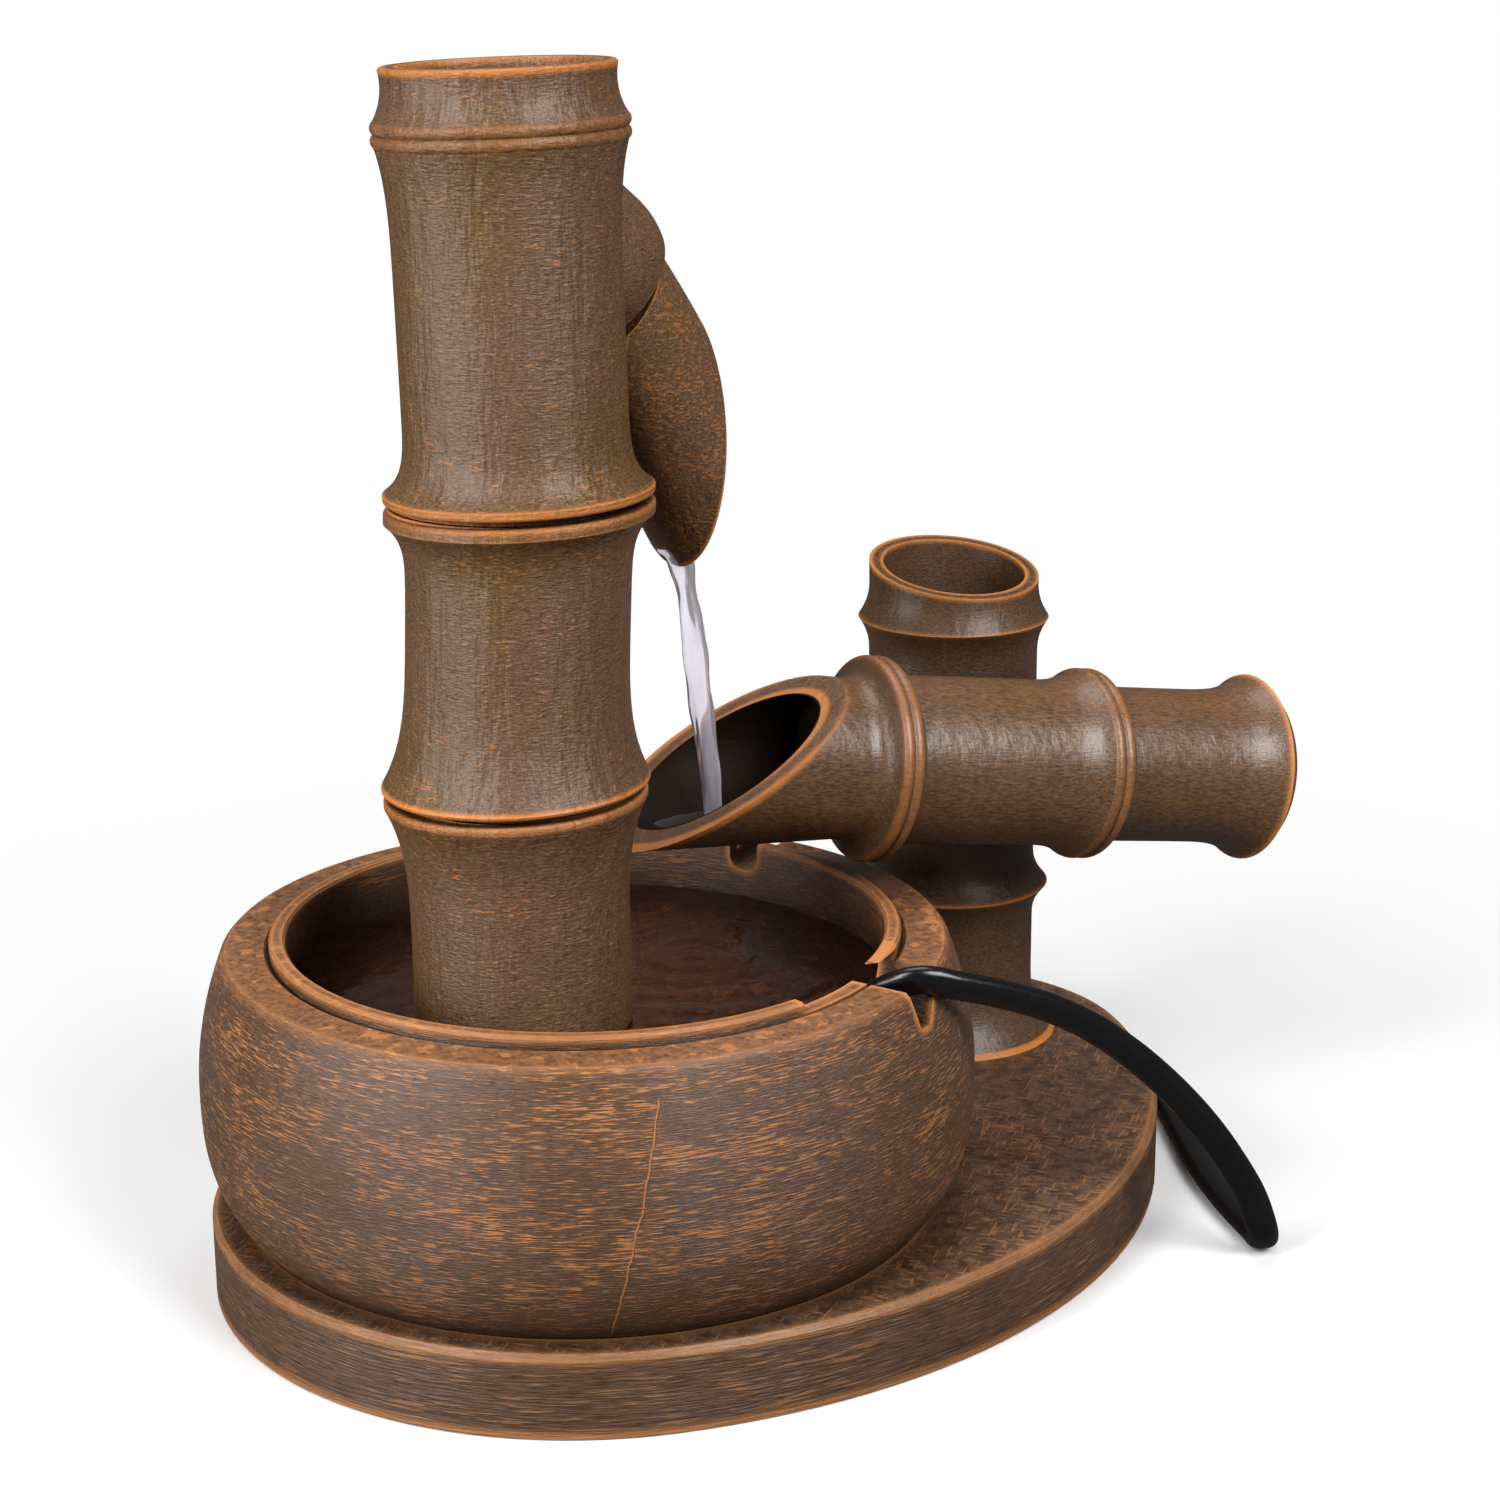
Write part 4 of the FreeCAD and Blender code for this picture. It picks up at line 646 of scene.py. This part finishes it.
@dataclass(frozen=True)
class Water:
    """Clear water with a slight tint."""

    name: str
    colour: Colour
    tint_noise: Noise = Noise(150.0)
    lightest: float = 1.2
    roughness: float = 0.03
    clearness: float = 1.0
    bending: float = 1.33

    def make(self) -> Finish:
        """Build the material.

        Returns:
            The finished material.
        """
        material, graph, shader = new_material(self.name)
        place = graph.add("ShaderNodeTexCoord").outputs["Object"]
        drift = graph.noise(place, self.tint_noise)
        lighter = tuple(min(1.0, value * self.lightest) for value in self.colour[:3]) + (1.0,)
        graph.feed(shader.inputs["Base Color"], graph.blend(drift, self.colour, lighter))
        shader.inputs["Roughness"].default_value = self.roughness
        shader.inputs["IOR"].default_value = self.bending
        shader.inputs["Transmission Weight"].default_value = self.clearness
        return material


@dataclass
class View:
    """Camera at the photograph's place."""

    place: Place = (BOWL_X - 462.0, -470.1, 315.9)
    heading: float = 42.17
    fall: float = 16.09
    roll: float = -0.39
    lens: float = 72.0
    sensor: float = 36.0
    nearest: float = 0.02

    def build(self) -> None:
        """Add the camera and make it the scene's."""
        data = bpy.data.cameras.new("photo_view")
        data.lens = self.lens
        data.sensor_width = self.sensor
        data.clip_start = self.nearest
        camera = bpy.data.objects.new("photo_view", data)
        bpy.context.scene.collection.objects.link(camera)
        turn = Matrix.Rotation(math.radians(self.heading - 90.0), 4, "Z")
        tip = Matrix.Rotation(math.radians(90.0 - self.fall), 4, "X")
        roll = Matrix.Rotation(math.radians(self.roll), 4, "Z")
        camera.matrix_world = Matrix.Translation(Vector(self.place) * MM) @ turn @ tip @ roll
        bpy.context.scene.camera = camera


@dataclass
class Softbox:
    """One soft lamp that stands round the piece and faces it."""

    name: str
    azimuth: float
    distance: float
    height: float
    width: float
    tall: float
    power: float
    aim_height: float = 0.13

    def build(self) -> None:
        """Add the lamp."""
        data = bpy.data.lights.new(self.name, "AREA")
        data.shape = "RECTANGLE"
        data.size = self.width
        data.size_y = self.tall
        data.energy = self.power
        lamp = bpy.data.objects.new(self.name, data)
        angle = math.radians(self.azimuth)
        place = Vector((self.distance * math.cos(angle), self.distance * math.sin(angle), self.height))
        aim = Vector((0.0, 0.0, self.aim_height)) - place
        lamp.location = place
        lamp.rotation_euler = aim.to_track_quat("-Z", "Y").to_euler()
        bpy.context.scene.collection.objects.link(lamp)


@dataclass
class Studio:
    """Pale floor, white surround and soft lamps."""

    floor_size: float = 8.0
    floor_tone: Colour = (0.79, 0.79, 0.795, 1.0)
    floor_bounce: Colour = (0.08, 0.08, 0.08, 1.0)
    floor_roughness: float = 0.9
    floor_shine: float = 0.1
    fade: Band = (0.15, 0.45)
    sky: float = 0.108
    lamps: tuple[Softbox, ...] = (
        Softbox("left_strip", azimuth=181.0, distance=1.05, height=0.75, width=0.42, tall=0.9, power=13.4),
        Softbox("right_strip", azimuth=265.0, distance=0.9, height=0.8, width=0.62, tall=0.6, power=14.5),
        Softbox("left_fill", azimuth=156.0, distance=1.0, height=0.25, width=0.7, tall=0.4, power=5.5),
        Softbox("overhead", azimuth=60.0, distance=0.35, height=1.3, width=0.9, tall=0.7, power=7.0))

    def build(self) -> None:
        """Add the floor, the surround and the lamps."""
        self.floor()
        self.surround()
        for lamp in self.lamps:
            lamp.build()

    def seen_straight(self, graph: Graph) -> Socket:
        """1 for what the camera sees, also through water, and 0 for light and reflections."""
        path = graph.add("ShaderNodeLightPath").outputs
        return graph.math("MAXIMUM", path["Is Camera Ray"], path["Is Transmission Ray"])

    def floor(self) -> None:
        """Add a pale floor that takes the shadow and fades to white away from the piece."""
        half = self.floor_size / 2
        mesh = bpy.data.meshes.new("floor")
        corners = [(-half, -half, 0.0), (half, -half, 0.0), (half, half, 0.0), (-half, half, 0.0)]
        mesh.from_pydata(corners, [], [(0, 1, 2, 3)])
        floor = bpy.data.objects.new("floor", mesh)
        bpy.context.scene.collection.objects.link(floor)
        material, graph, shader = new_material("pale_floor")
        seen = self.seen_straight(graph)
        place = graph.add("ShaderNodeTexCoord").outputs["Object"]
        away = graph.vector("LENGTH", place).outputs["Value"]
        far = graph.math("MULTIPLY", graph.step(away, *self.fade), seen)
        near = graph.blend(seen, self.floor_bounce, self.floor_tone)
        graph.feed(shader.inputs["Base Color"], graph.blend(far, near, BLACK))
        graph.feed(shader.inputs["Emission Color"], graph.blend(far, BLACK, WHITE))
        shader.inputs["Emission Strength"].default_value = 1.0
        shader.inputs["Roughness"].default_value = self.floor_roughness
        shader.inputs["Specular IOR Level"].default_value = self.floor_shine
        mesh.materials.append(material)

    def surround(self) -> None:
        """Add a surround that is white to the camera and softer as a light."""
        world = bpy.data.worlds.new("studio")
        world.use_nodes = True
        bpy.context.scene.world = world
        graph = Graph(world.node_tree)
        seen = self.seen_straight(graph)
        back = world.node_tree.nodes["Background"]
        share = graph.add("ShaderNodeMapRange", {"Value": seen, "To Min": self.sky, "To Max": 1.0})
        back.inputs["Color"].default_value = WHITE
        graph.feed(back.inputs["Strength"], share.outputs[0])


def add_piece(name: str, vertices: list[Vector], faces: list[Face], material: Finish) -> Piece:
    """Add a smooth mesh piece in the part's frame.

    Args:
        name: The piece's name.
        vertices: Its points, in metres.
        faces: Its faces, as point numbers.
        material: Its material.

    Returns:
        The piece.
    """
    mesh = bpy.data.meshes.new(name)
    mesh.from_pydata(vertices, [], faces)
    mesh.polygons.foreach_set("use_smooth", [True] * len(mesh.polygons))
    mesh.materials.append(material)
    piece = bpy.data.objects.new(name, mesh)
    bpy.context.scene.collection.objects.link(piece)
    return piece


def tube_faces(rings: int, sides: int) -> list[Face]:
    """Faces of a closed tube whose points are listed ring by ring.

    Args:
        rings: How many rings it has.
        sides: How many points each ring has.

    Returns:
        The faces, the two ends last.
    """
    faces: list[Face] = []
    for i in range(rings - 1):
        for j in range(sides):
            k = (j + 1) % sides
            faces.append((i * sides + j, i * sides + k, (i + 1) * sides + k, (i + 1) * sides + j))
    faces.append(tuple(reversed(range(sides))))
    faces.append(tuple((rings - 1) * sides + j for j in range(sides)))
    return faces


@dataclass
class MainsCord:
    """Flat mains cord: out of the bowl's notch, down to the floor, round behind and into a coil.

    The points of its route are given from the bowl's middle.
    """

    width: float = 7.4
    thickness: float = 4.9
    squareness: float = 0.8
    dent_depth: float = 0.07
    dent_width: float = 0.22
    sides: int = 20
    spline_order: int = 3
    spline_steps: int = 8
    level_x: float = 150.0
    floor_z: float = 2.6
    gland_end: Place = (-10.3256, -22.7744, 35.1)
    first_corner: Place = (-1.5151, -33.6544, 35.1)
    over_rim: tuple[Place, ...] = (
        (6.5, -44.4, 32.0), (13.2, -52.4, 34.6), (17.2, -57.4, 42.8), (18.9, -60.2, 53.6),
        (19.6, -61.8, 64.4), (20.3, -65.2, 73.6), (21.3, -70.6, 78.8), (22.6, -75.2, 81.7),
        (24.8, -78.6, 82.9), (27.7, -81.2, 82.5), (31.0, -83.6, 81.1))
    falling: tuple[Place, ...] = (
        (35.9, -86.0, 79.4), (41.2, -88.6, 77.5), (52.2, -93.6, 72.7), (63.0, -98.8, 65.9),
        (73.0, -104.2, 57.1), (82.5, -109.4, 46.5), (90.5, -113.7, 35.8), (96.6, -117.0, 25.6),
        (101.0, -119.4, 17.2), (102.0, -121.3, 11.1), (103.8, -121.1, 7.5), (106.1, -119.9, 4.4))
    floor_route: tuple[Spot, ...] = (
        (108.7, -117.8), (111.2, -114.7), (114.6, -109.4), (121.0, -100.0), (132.0, -86.0),
        (147.6, -69.6), (165.6, -51.0), (181.0, -33.2), (193.0, -14.6), (199.6, 6.0), (199.6, 28.0),
        (194.0, 50.0), (183.4, 71.6), (169.4, 91.0), (154.4, 105.6), (144.2, 115.2), (139.2, 126.4),
        (139.2, 140.6))
    coil_centre: Spot = (92.0, 148.0)
    coil_r: float = 47.2
    coil_pitch: float = 8.2
    coil_rise: float = 5.6
    turns_in: float = 2.0
    turns_over: float = 0.5
    turns_out: float = 1.25
    points_per_turn: int = 16
    tail: tuple[Place, ...] = (
        (114.0, 106.95, 8.6), (128.0, 106.9, 8.9), (142.0, 106.9, 9.2), (154.0, 107.0, 9.0),
        (163.5, 107.2, 8.2), (173.0, 107.4, 7.0), (186.0, 107.4, 7.0))

    def coil_points(self) -> list[Place]:
        """Points of the coil: in on the floor, up half-way round, and out on top.

        Returns:
            The points, from the coil's outside in and out again.
        """
        over = self.turns_in + self.turns_over
        inner = self.coil_r - self.coil_pitch * self.turns_in
        middle = self.turns_in + self.turns_over / 2
        points = []
        for i in range(1, round((over + self.turns_out) * self.points_per_turn) + 1):
            turn = i / self.points_per_turn
            rise = min(max((turn - self.turns_in) / self.turns_over, 0.0), 1.0)
            if turn <= self.turns_in:
                r = self.coil_r - self.coil_pitch * turn
            elif turn < over:
                r = inner - self.coil_pitch * (self.turns_over / 2 - abs(turn - middle))
            else:
                r = inner + self.coil_pitch * (turn - over)
            angle = 2 * math.pi * turn
            points.append((
                self.coil_centre[0] + r * math.cos(angle), self.coil_centre[1] + r * math.sin(angle),
                self.floor_z + self.coil_rise * rise * rise * (3 - 2 * rise)))
        return points

    def route(self) -> list[Vector]:
        """All points of the route.

        Returns:
            The points, in metres in the part's frame.
        """
        points = [self.gland_end, self.first_corner, *self.over_rim, *self.falling]
        points += [(x, y, self.floor_z) for x, y in self.floor_route]
        points += [*self.coil_points(), *self.tail]
        return [Vector((x + BOWL_X, y, z)) * MM for x, y, z in points]

    def centreline(self) -> list[Vector]:
        """Lay the smooth spline through the route.

        Returns:
            Points along the spline.
        """
        curve = bpy.data.curves.new("cord_route", "CURVE")
        curve.dimensions = "3D"
        curve.resolution_u = self.spline_steps
        spline = curve.splines.new("NURBS")
        route = self.route()
        spline.points.add(len(route) - 1)
        for point, place in zip(spline.points, route):
            point.co = (*place, 1.0)
        spline.order_u = self.spline_order
        spline.use_endpoint_u = True
        holder = bpy.data.objects.new("cord_route", curve)
        mesh = bpy.data.meshes.new_from_object(holder)
        line = [vertex.co.copy() for vertex in mesh.vertices]
        bpy.data.objects.remove(holder)
        bpy.data.meshes.remove(mesh)
        return line

    def flat_ways(self, line: list[Vector]) -> list[tuple[Vector, Vector]]:
        """Which way the cord heads and its flat side looks, kept from twisting, level on the floor.

        Args:
            line: Points along the cord.

        Returns:
            The heading and the flat side's normal at each point.
        """
        ways = []
        for i in range(len(line)):
            before = line[max(i - 1, 0)]
            after = line[min(i + 1, len(line) - 1)]
            ways.append((after - before).normalized())
        level = next(i for i, point in enumerate(line) if point.x > (BOWL_X + self.level_x) * MM)
        normals: list[Vector] = [Vector(UP)] * len(line)
        for i in range(level - 1, -1, -1):
            turn = ways[i + 1].rotation_difference(ways[i])
            normals[i] = turn @ normals[i + 1]
        for i in range(level + 1, len(line)):
            normals[i] = (normals[i] - ways[i] * normals[i].dot(ways[i])).normalized()
        return list(zip(ways, normals))

    def section(self, angle: float) -> Spot:
        """Point of the flat oval section, dented along the middle of each flat side.

        Args:
            angle: Angle round the section.

        Returns:
            The point, across the flat side and along its normal.
        """
        across = math.copysign(abs(math.cos(angle)) ** self.squareness, math.cos(angle))
        dent = 1.0 - self.dent_depth * math.exp(-((math.cos(angle) / self.dent_width) ** 2))
        return across * self.width / 2, math.sin(angle) * dent * self.thickness / 2

    def build(self, sheath: Finish) -> Piece:
        """Args:
            sheath: The cord's material.

        Returns:
            The cord.
        """
        line = self.centreline()
        section = [self.section(2 * math.pi * j / self.sides) for j in range(self.sides)]
        vertices = []
        for point, (way, normal) in zip(line, self.flat_ways(line)):
            side = way.cross(normal)
            vertices += [point + side * (a * MM) + normal * (b * MM) for a, b in section]
        cord = add_piece("mains_cord", vertices, tube_faces(len(line), self.sides), sheath)
        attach(cord, "stand")
        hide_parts("cord_in_bowl", "cord_free", "cord_coil", "cord_tail")
        return cord


@dataclass
class BowlWater:
    """Water that stands in the bowl, with ripples that run out from under the scoop."""

    radius: float = 71.2
    level: float = 70.0
    source: Spot = (30.0, -6.0)
    ripple_length: float = 8.5
    ripple_height: float = 0.42
    reach: float = 34.0
    bends: tuple[Wave, ...] = (Wave(1.3, 0.09, 0.05), Wave(0.8, -0.04, 0.17))
    crossed: tuple[Wave, Wave] = (Wave(0.07, 0.8, 0.35), Wave(1.0, -0.25, 0.6))
    rings: int = 46
    sides: int = 160

    def height(self, x: float, y: float) -> float:
        """Level of the rippled water.

        Args:
            x: Place across the bowl, from its middle.
            y: Place along the bowl, from its middle.

        Returns:
            The water's height there.
        """
        away = math.hypot(x - self.source[0], y - self.source[1])
        bend = sum(wave.at(x, y) for wave in self.bends)
        ripple = math.sin(2 * math.pi * away / self.ripple_length + bend)
        small = self.crossed[0].at(x, y) * self.crossed[1].at(x, y)
        return self.level + self.ripple_height * ripple * math.exp(-away / self.reach) + small

    def build(self, water: Finish) -> Piece:
        """Add the water's rippled surface.

        Args:
            water: Its material.

        Returns:
            The piece.
        """
        vertices = [Vector((BOWL_X, 0.0, self.height(0.0, 0.0))) * MM]
        for i in range(1, self.rings + 1):
            r = self.radius * i / self.rings
            for j in range(self.sides):
                x = r * math.cos(2 * math.pi * j / self.sides)
                y = r * math.sin(2 * math.pi * j / self.sides)
                vertices.append(Vector((x + BOWL_X, y, self.height(x, y))) * MM)
        faces: list[Face] = []
        n = self.sides
        for j in range(n):
            k = (j + 1) % n
            faces.append((0, 1 + j, 1 + k))
            for i in range(self.rings - 1):
                a, b = 1 + i * n, 1 + (i + 1) * n
                faces.append((a + j, b + j, b + k, a + k))
        piece = add_piece("bowl_water", vertices, faces, water)
        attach(piece, "stand")
        return piece


@dataclass
class ScoopWater:
    """Water that stands in the scoop behind its lip, stirred by the stream.

    Its stations are places along the arm, from the bore's middle, with half the water's width.
    """

    middle: Place = SCOOP_MIDDLE
    along: Spot = (0.910, -0.4147)
    level: float = 102.9
    stations: tuple[Spot, ...] = (
        (-108.0, 1.6), (-104.0, 4.1), (-98.0, 5.4), (-92.0, 6.4), (-86.0, 7.2), (-80.0, 7.9),
        (-74.0, 8.4), (-68.0, 8.9), (-65.2, 9.1))
    source: float = -94.0
    ripples: Wave = Wave(0.1, 1.7)
    reach: float = 9.0
    swell: Wave = Wave(0.02, 0.9, 1.0)
    columns: int = 28
    rows: int = 60

    def half_width(self, t: float) -> float:
        """Half the water's width, between the given stations.

        Args:
            t: Place along the scoop.

        Returns:
            Half the width there.
        """
        for (t0, w0), (t1, w1) in zip(self.stations, self.stations[1:]):
            if t <= t1:
                return w0 + (w1 - w0) * (t - t0) / (t1 - t0)
        return self.stations[-1][1]

    def build(self, water: Finish) -> Piece:
        """Add the water's stirred surface.

        Args:
            water: Its material.

        Returns:
            The piece.
        """
        first, last = self.stations[0][0], self.stations[-1][0]
        vertices = []
        for i in range(self.rows + 1):
            t = first + (last - first) * i / self.rows
            for j in range(self.columns + 1):
                side = self.half_width(t) * (2 * j / self.columns - 1)
                x = self.middle[0] + self.along[0] * t - self.along[1] * side
                y = self.middle[1] + self.along[1] * t + self.along[0] * side
                away = math.hypot(t - self.source, side)
                stir = self.ripples.at(away) * math.exp(-away / self.reach) + self.swell.at(t, side)
                vertices.append(Vector((x, y, self.level + stir)) * MM)
        n = self.columns + 1
        faces = [
            (i * n + j, i * n + j + 1, (i + 1) * n + j + 1, (i + 1) * n + j)
            for i in range(self.rows) for j in range(self.columns)]
        piece = add_piece("scoop_water", vertices, faces, water)
        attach(piece, "rocker")
        return piece


@dataclass
class Stream:
    """Flat, slightly twisted and rippled stream of water from the spout's tip into the scoop.

    Its low end runs into the scoop's wall, so that it still reaches the scoop when that tips. The
    points of its path are given from the bowl's middle.
    """

    path: tuple[Place, ...] = (
        (23.4, -7.0, 171.0), (26.2, -7.0, 166.5), (28.6, -7.1, 155.0), (31.0, -7.2, 141.0),
        (33.2, -7.3, 125.0), (35.0, -7.4, 111.0), (36.3, -7.5, 97.0))
    rounding: float = 0.06
    top_width: float = 7.2
    low_width: float = 4.8
    narrowing: float = 0.8
    thickness: float = 2.6
    side: Place = (0.62, -0.78, 0.0)
    twist: Wave = Wave(0.9, 4.2, start=0.4)
    swells: tuple[Wave, ...] = (Wave(0.07, 17.0), Wave(0.04, 43.0))
    ribs: tuple[Wave, ...] = (Wave(0.14, 3.0, 9.0), Wave(0.08, 5.0, -21.0))
    stations: int = 90
    sides: int = 20

    def point(self, share: float) -> Vector:
        """Point on the path, on straight runs between the given points.

        Args:
            share: Share of the path's length.

        Returns:
            The point.
        """
        at = share * (len(self.path) - 1)
        i = min(int(at), len(self.path) - 2)
        a, b = Vector(self.path[i]), Vector(self.path[i + 1])
        return a.lerp(b, at - i)

    def smooth_point(self, share: float) -> Vector:
        """Mean of three points on the path, which rounds its corners."""
        near = [min(max(share + d, 0.0), 1.0) for d in (-self.rounding, 0.0, self.rounding)]
        return sum((self.point(at) for at in near), Vector()) / len(near)

    def build(self, water: Finish) -> Piece:
        """Sweep the stream's section along its path.

        Args:
            water: Its material.

        Returns:
            The piece.
        """
        vertices = []
        for i in range(self.stations):
            share = i / (self.stations - 1)
            middle = self.smooth_point(share)
            width = self.top_width + (self.low_width - self.top_width) * share ** self.narrowing
            width *= sum((wave.at(share) for wave in self.swells), 1.0)
            turned = Matrix.Rotation(self.twist.at(share), 3, "Z") @ Vector(self.side)
            flat = Vector((-turned.y, turned.x, 0.0))
            for j in range(self.sides):
                angle = 2 * math.pi * j / self.sides
                rib = sum((wave.at(angle, share) for wave in self.ribs), 1.0)
                offset = turned * (math.cos(angle) * width / 2 * rib)
                offset += flat * (math.sin(angle) * self.thickness / 2 * rib)
                vertices.append((middle + offset + Vector((BOWL_X, 0.0, 0.0))) * MM)
        piece = add_piece("water_stream", vertices, tube_faces(self.stations, self.sides), water)
        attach(piece, "top_length")
        return piece


@dataclass
class Column:
    """Three bamboo lengths and the spout."""

    effects: SharedEffects

    def build(self) -> None:
        """Dress the column and its spout."""
        bamboo = Glaze("bamboo_glaze")
        spout = Glaze(
            "spout_glaze", edge_width=0.0007, edge_wear=0.1, stroke_size=(700.0, 700.0, 1500.0), cover=0.6,
            stroke_tone=0.4, lump_height=0.9)
        dress(bamboo.make(self.effects), "column_lower", "column_middle", "column_upper")
        dress(spout.make(self.effects), "spout")


@dataclass
class Basin:
    """Bowl and the slab under it."""

    effects: SharedEffects

    def build(self) -> None:
        """Dress the bowl, the slab and its pads."""
        # The bowl's painted shade reaches 24 mm, which darkens its inner wall.
        bowl = CrackedGlaze(
            "bowl_glaze", ground=(0.084, 0.042, 0.022, 1.0), cloud=(0.098, 0.053, 0.039, 1.0),
            copper=(0.52, 0.205, 0.062, 1.0), stroke_size=(210.0, 210.0, 3300.0), cover=0.56,
            stroke_tone=0.68, stroke_height=0.4, lump_height=0.25, edge_width=0.0022, edge_wear=0.7,
            top_wear=0.34, painted_shade_depth=0.024, painted_shade_share=0.85)
        slab = Glaze(
            "base_glaze", ground=(0.082, 0.043, 0.024, 1.0), cloud=(0.098, 0.055, 0.038, 1.0),
            copper=(0.46, 0.195, 0.065, 1.0), stroke_size=(90.0, 90.0, 1700.0), cover=0.48,
            stroke_height=0.45, lump_height=0.25, edge_width=0.003, edge_wear=0.6, marks=Marks.WOVEN)
        felt = Plain(
            "felt", (0.03, 0.03, 0.03, 1.0), roughness=0.95, grain=1.0, grain_noise=Noise(2500.0, 3.0, 0.6))
        dress(bowl.make(self.effects), "bowl")
        dress(slab.make(self.effects), "base_plate")
        dress(felt.make(), "base_pads")


@dataclass
class Rocker:
    """Post, rocking arm and what holds them."""

    effects: SharedEffects

    def build(self) -> None:
        """Dress the post, the arm and the pivot's pieces."""
        # The arm's painted shade reaches 30 mm and is strong, and its bore is painted as full shade.
        arm = ArmGlaze(
            "arm_glaze", ground=(0.094, 0.046, 0.013, 1.0), cloud=(0.104, 0.052, 0.027, 1.0),
            axis=(0.901, -0.4106, -0.14), stroke_size=(900.0, 900.0, 200.0), cover=0.2,
            stroke_tone=0.25, stroke_height=0.1, lump_height=0.4, coat=0.12, shine=0.62,
            edge_width=0.0023, top_wear=0.1, painted_shade_depth=0.03, painted_shade_share=0.9)
        # The post's painted shade reaches 30 mm.
        post = Glaze(
            "post_glaze", ground=(0.078, 0.040, 0.016, 1.0), cloud=(0.087, 0.049, 0.030, 1.0),
            cover=0.22, stroke_tone=0.25, stroke_height=0.12, lump_height=0.4, edge_width=0.0016,
            painted_shade_depth=0.03)
        rubber = Plain("bumper_rubber", (0.02, 0.02, 0.02, 1.0), roughness=0.7)
        nylon = Plain("nylon", (0.78, 0.76, 0.7, 1.0), roughness=0.45, grain=0.1)
        steel = Plain("brushed_steel", (0.6, 0.6, 0.59, 1.0), roughness=0.32, metallic=1.0, grain=0.2)
        clay = Plain("bare_clay", (0.3, 0.2, 0.14, 1.0), roughness=0.85, grain=0.6)
        dress(arm.make(self.effects), "rocker_arm")
        dress(post.make(self.effects), "post")
        dress(rubber.make(), "rest_bumper")
        dress(nylon.make(), "pivot_bush", "axle_washer")
        dress(steel.make(), "pivot_axle", "push_nut")
        dress(clay.make(), "counterweight")


@dataclass
class Pump:
    """Pump under the column, its hose and the plug on its cord."""

    def build(self) -> None:
        """Dress the pump's pieces, the hose and the plug."""
        shell = Plain("pump_plastic", (0.014, 0.014, 0.016, 1.0), roughness=0.38, grain=0.15)
        rubber = Plain("pump_rubber", (0.022, 0.021, 0.02, 1.0), roughness=0.7)
        iron = Plain("core_iron", (0.3, 0.3, 0.31, 1.0), roughness=0.45, metallic=1.0)
        copper = Plain("winding_copper", (0.62, 0.25, 0.1, 1.0), roughness=0.35, metallic=1.0)
        ferrite = Plain("rotor_ferrite", (0.06, 0.06, 0.065, 1.0), roughness=0.6)
        ceramic = Plain("shaft_ceramic", (0.8, 0.8, 0.77, 1.0), roughness=0.2, grain=0.05)
        vinyl = Plain("hose_vinyl", (0.5, 0.53, 0.52, 1.0), roughness=0.25, grain=0.05, coat=0.3)
        nickel = Plain("pin_nickel", (0.62, 0.58, 0.5, 1.0), roughness=0.25, metallic=1.0, grain=0.05)
        for finish, *nodes in (
                (shell, "pump_housing", "pump_cover", "flow_regulator", "plug_body"),
                (rubber, "hose_grommet", "pump_feet", "shaft_bushes", "pump_gland"),
                (iron, "motor_core"), (copper, "motor_coil"), (ferrite, "impeller"),
                (ceramic, "impeller_shaft"), (vinyl, "hose"), (nickel, "plug_pins")):
            dress(finish.make(), *nodes)


def main() -> None:
    """Build the dressing in order and report each piece."""
    logging.basicConfig(level=logging.INFO, format="%(message)s")
    bpy.context.scene.view_settings.view_transform = "Standard"
    View().build()
    Studio().build()
    LOG.info("camera and studio set")
    effects = SharedEffects()
    for assembly in (Column(effects), Basin(effects), Rocker(effects), Pump()):
        assembly.build()
        LOG.info("%s dressed", type(assembly).__name__.lower())
    sheath = Plain("cord_sheath", (0.004, 0.004, 0.005, 1.0), roughness=0.24, grain=0.1).make()
    standing = Water("standing_water", (0.4, 0.26, 0.17, 1.0)).make()
    running = Water("running_water", (0.74, 0.71, 0.78, 1.0), roughness=0.08, clearness=0.72).make()
    pieces = (
        MainsCord().build(sheath), BowlWater().build(standing), ScoopWater().build(standing),
        Stream().build(running))
    for piece in pieces:
        LOG.info("%s built", piece.name)


if __name__ == "__main__":
    main()
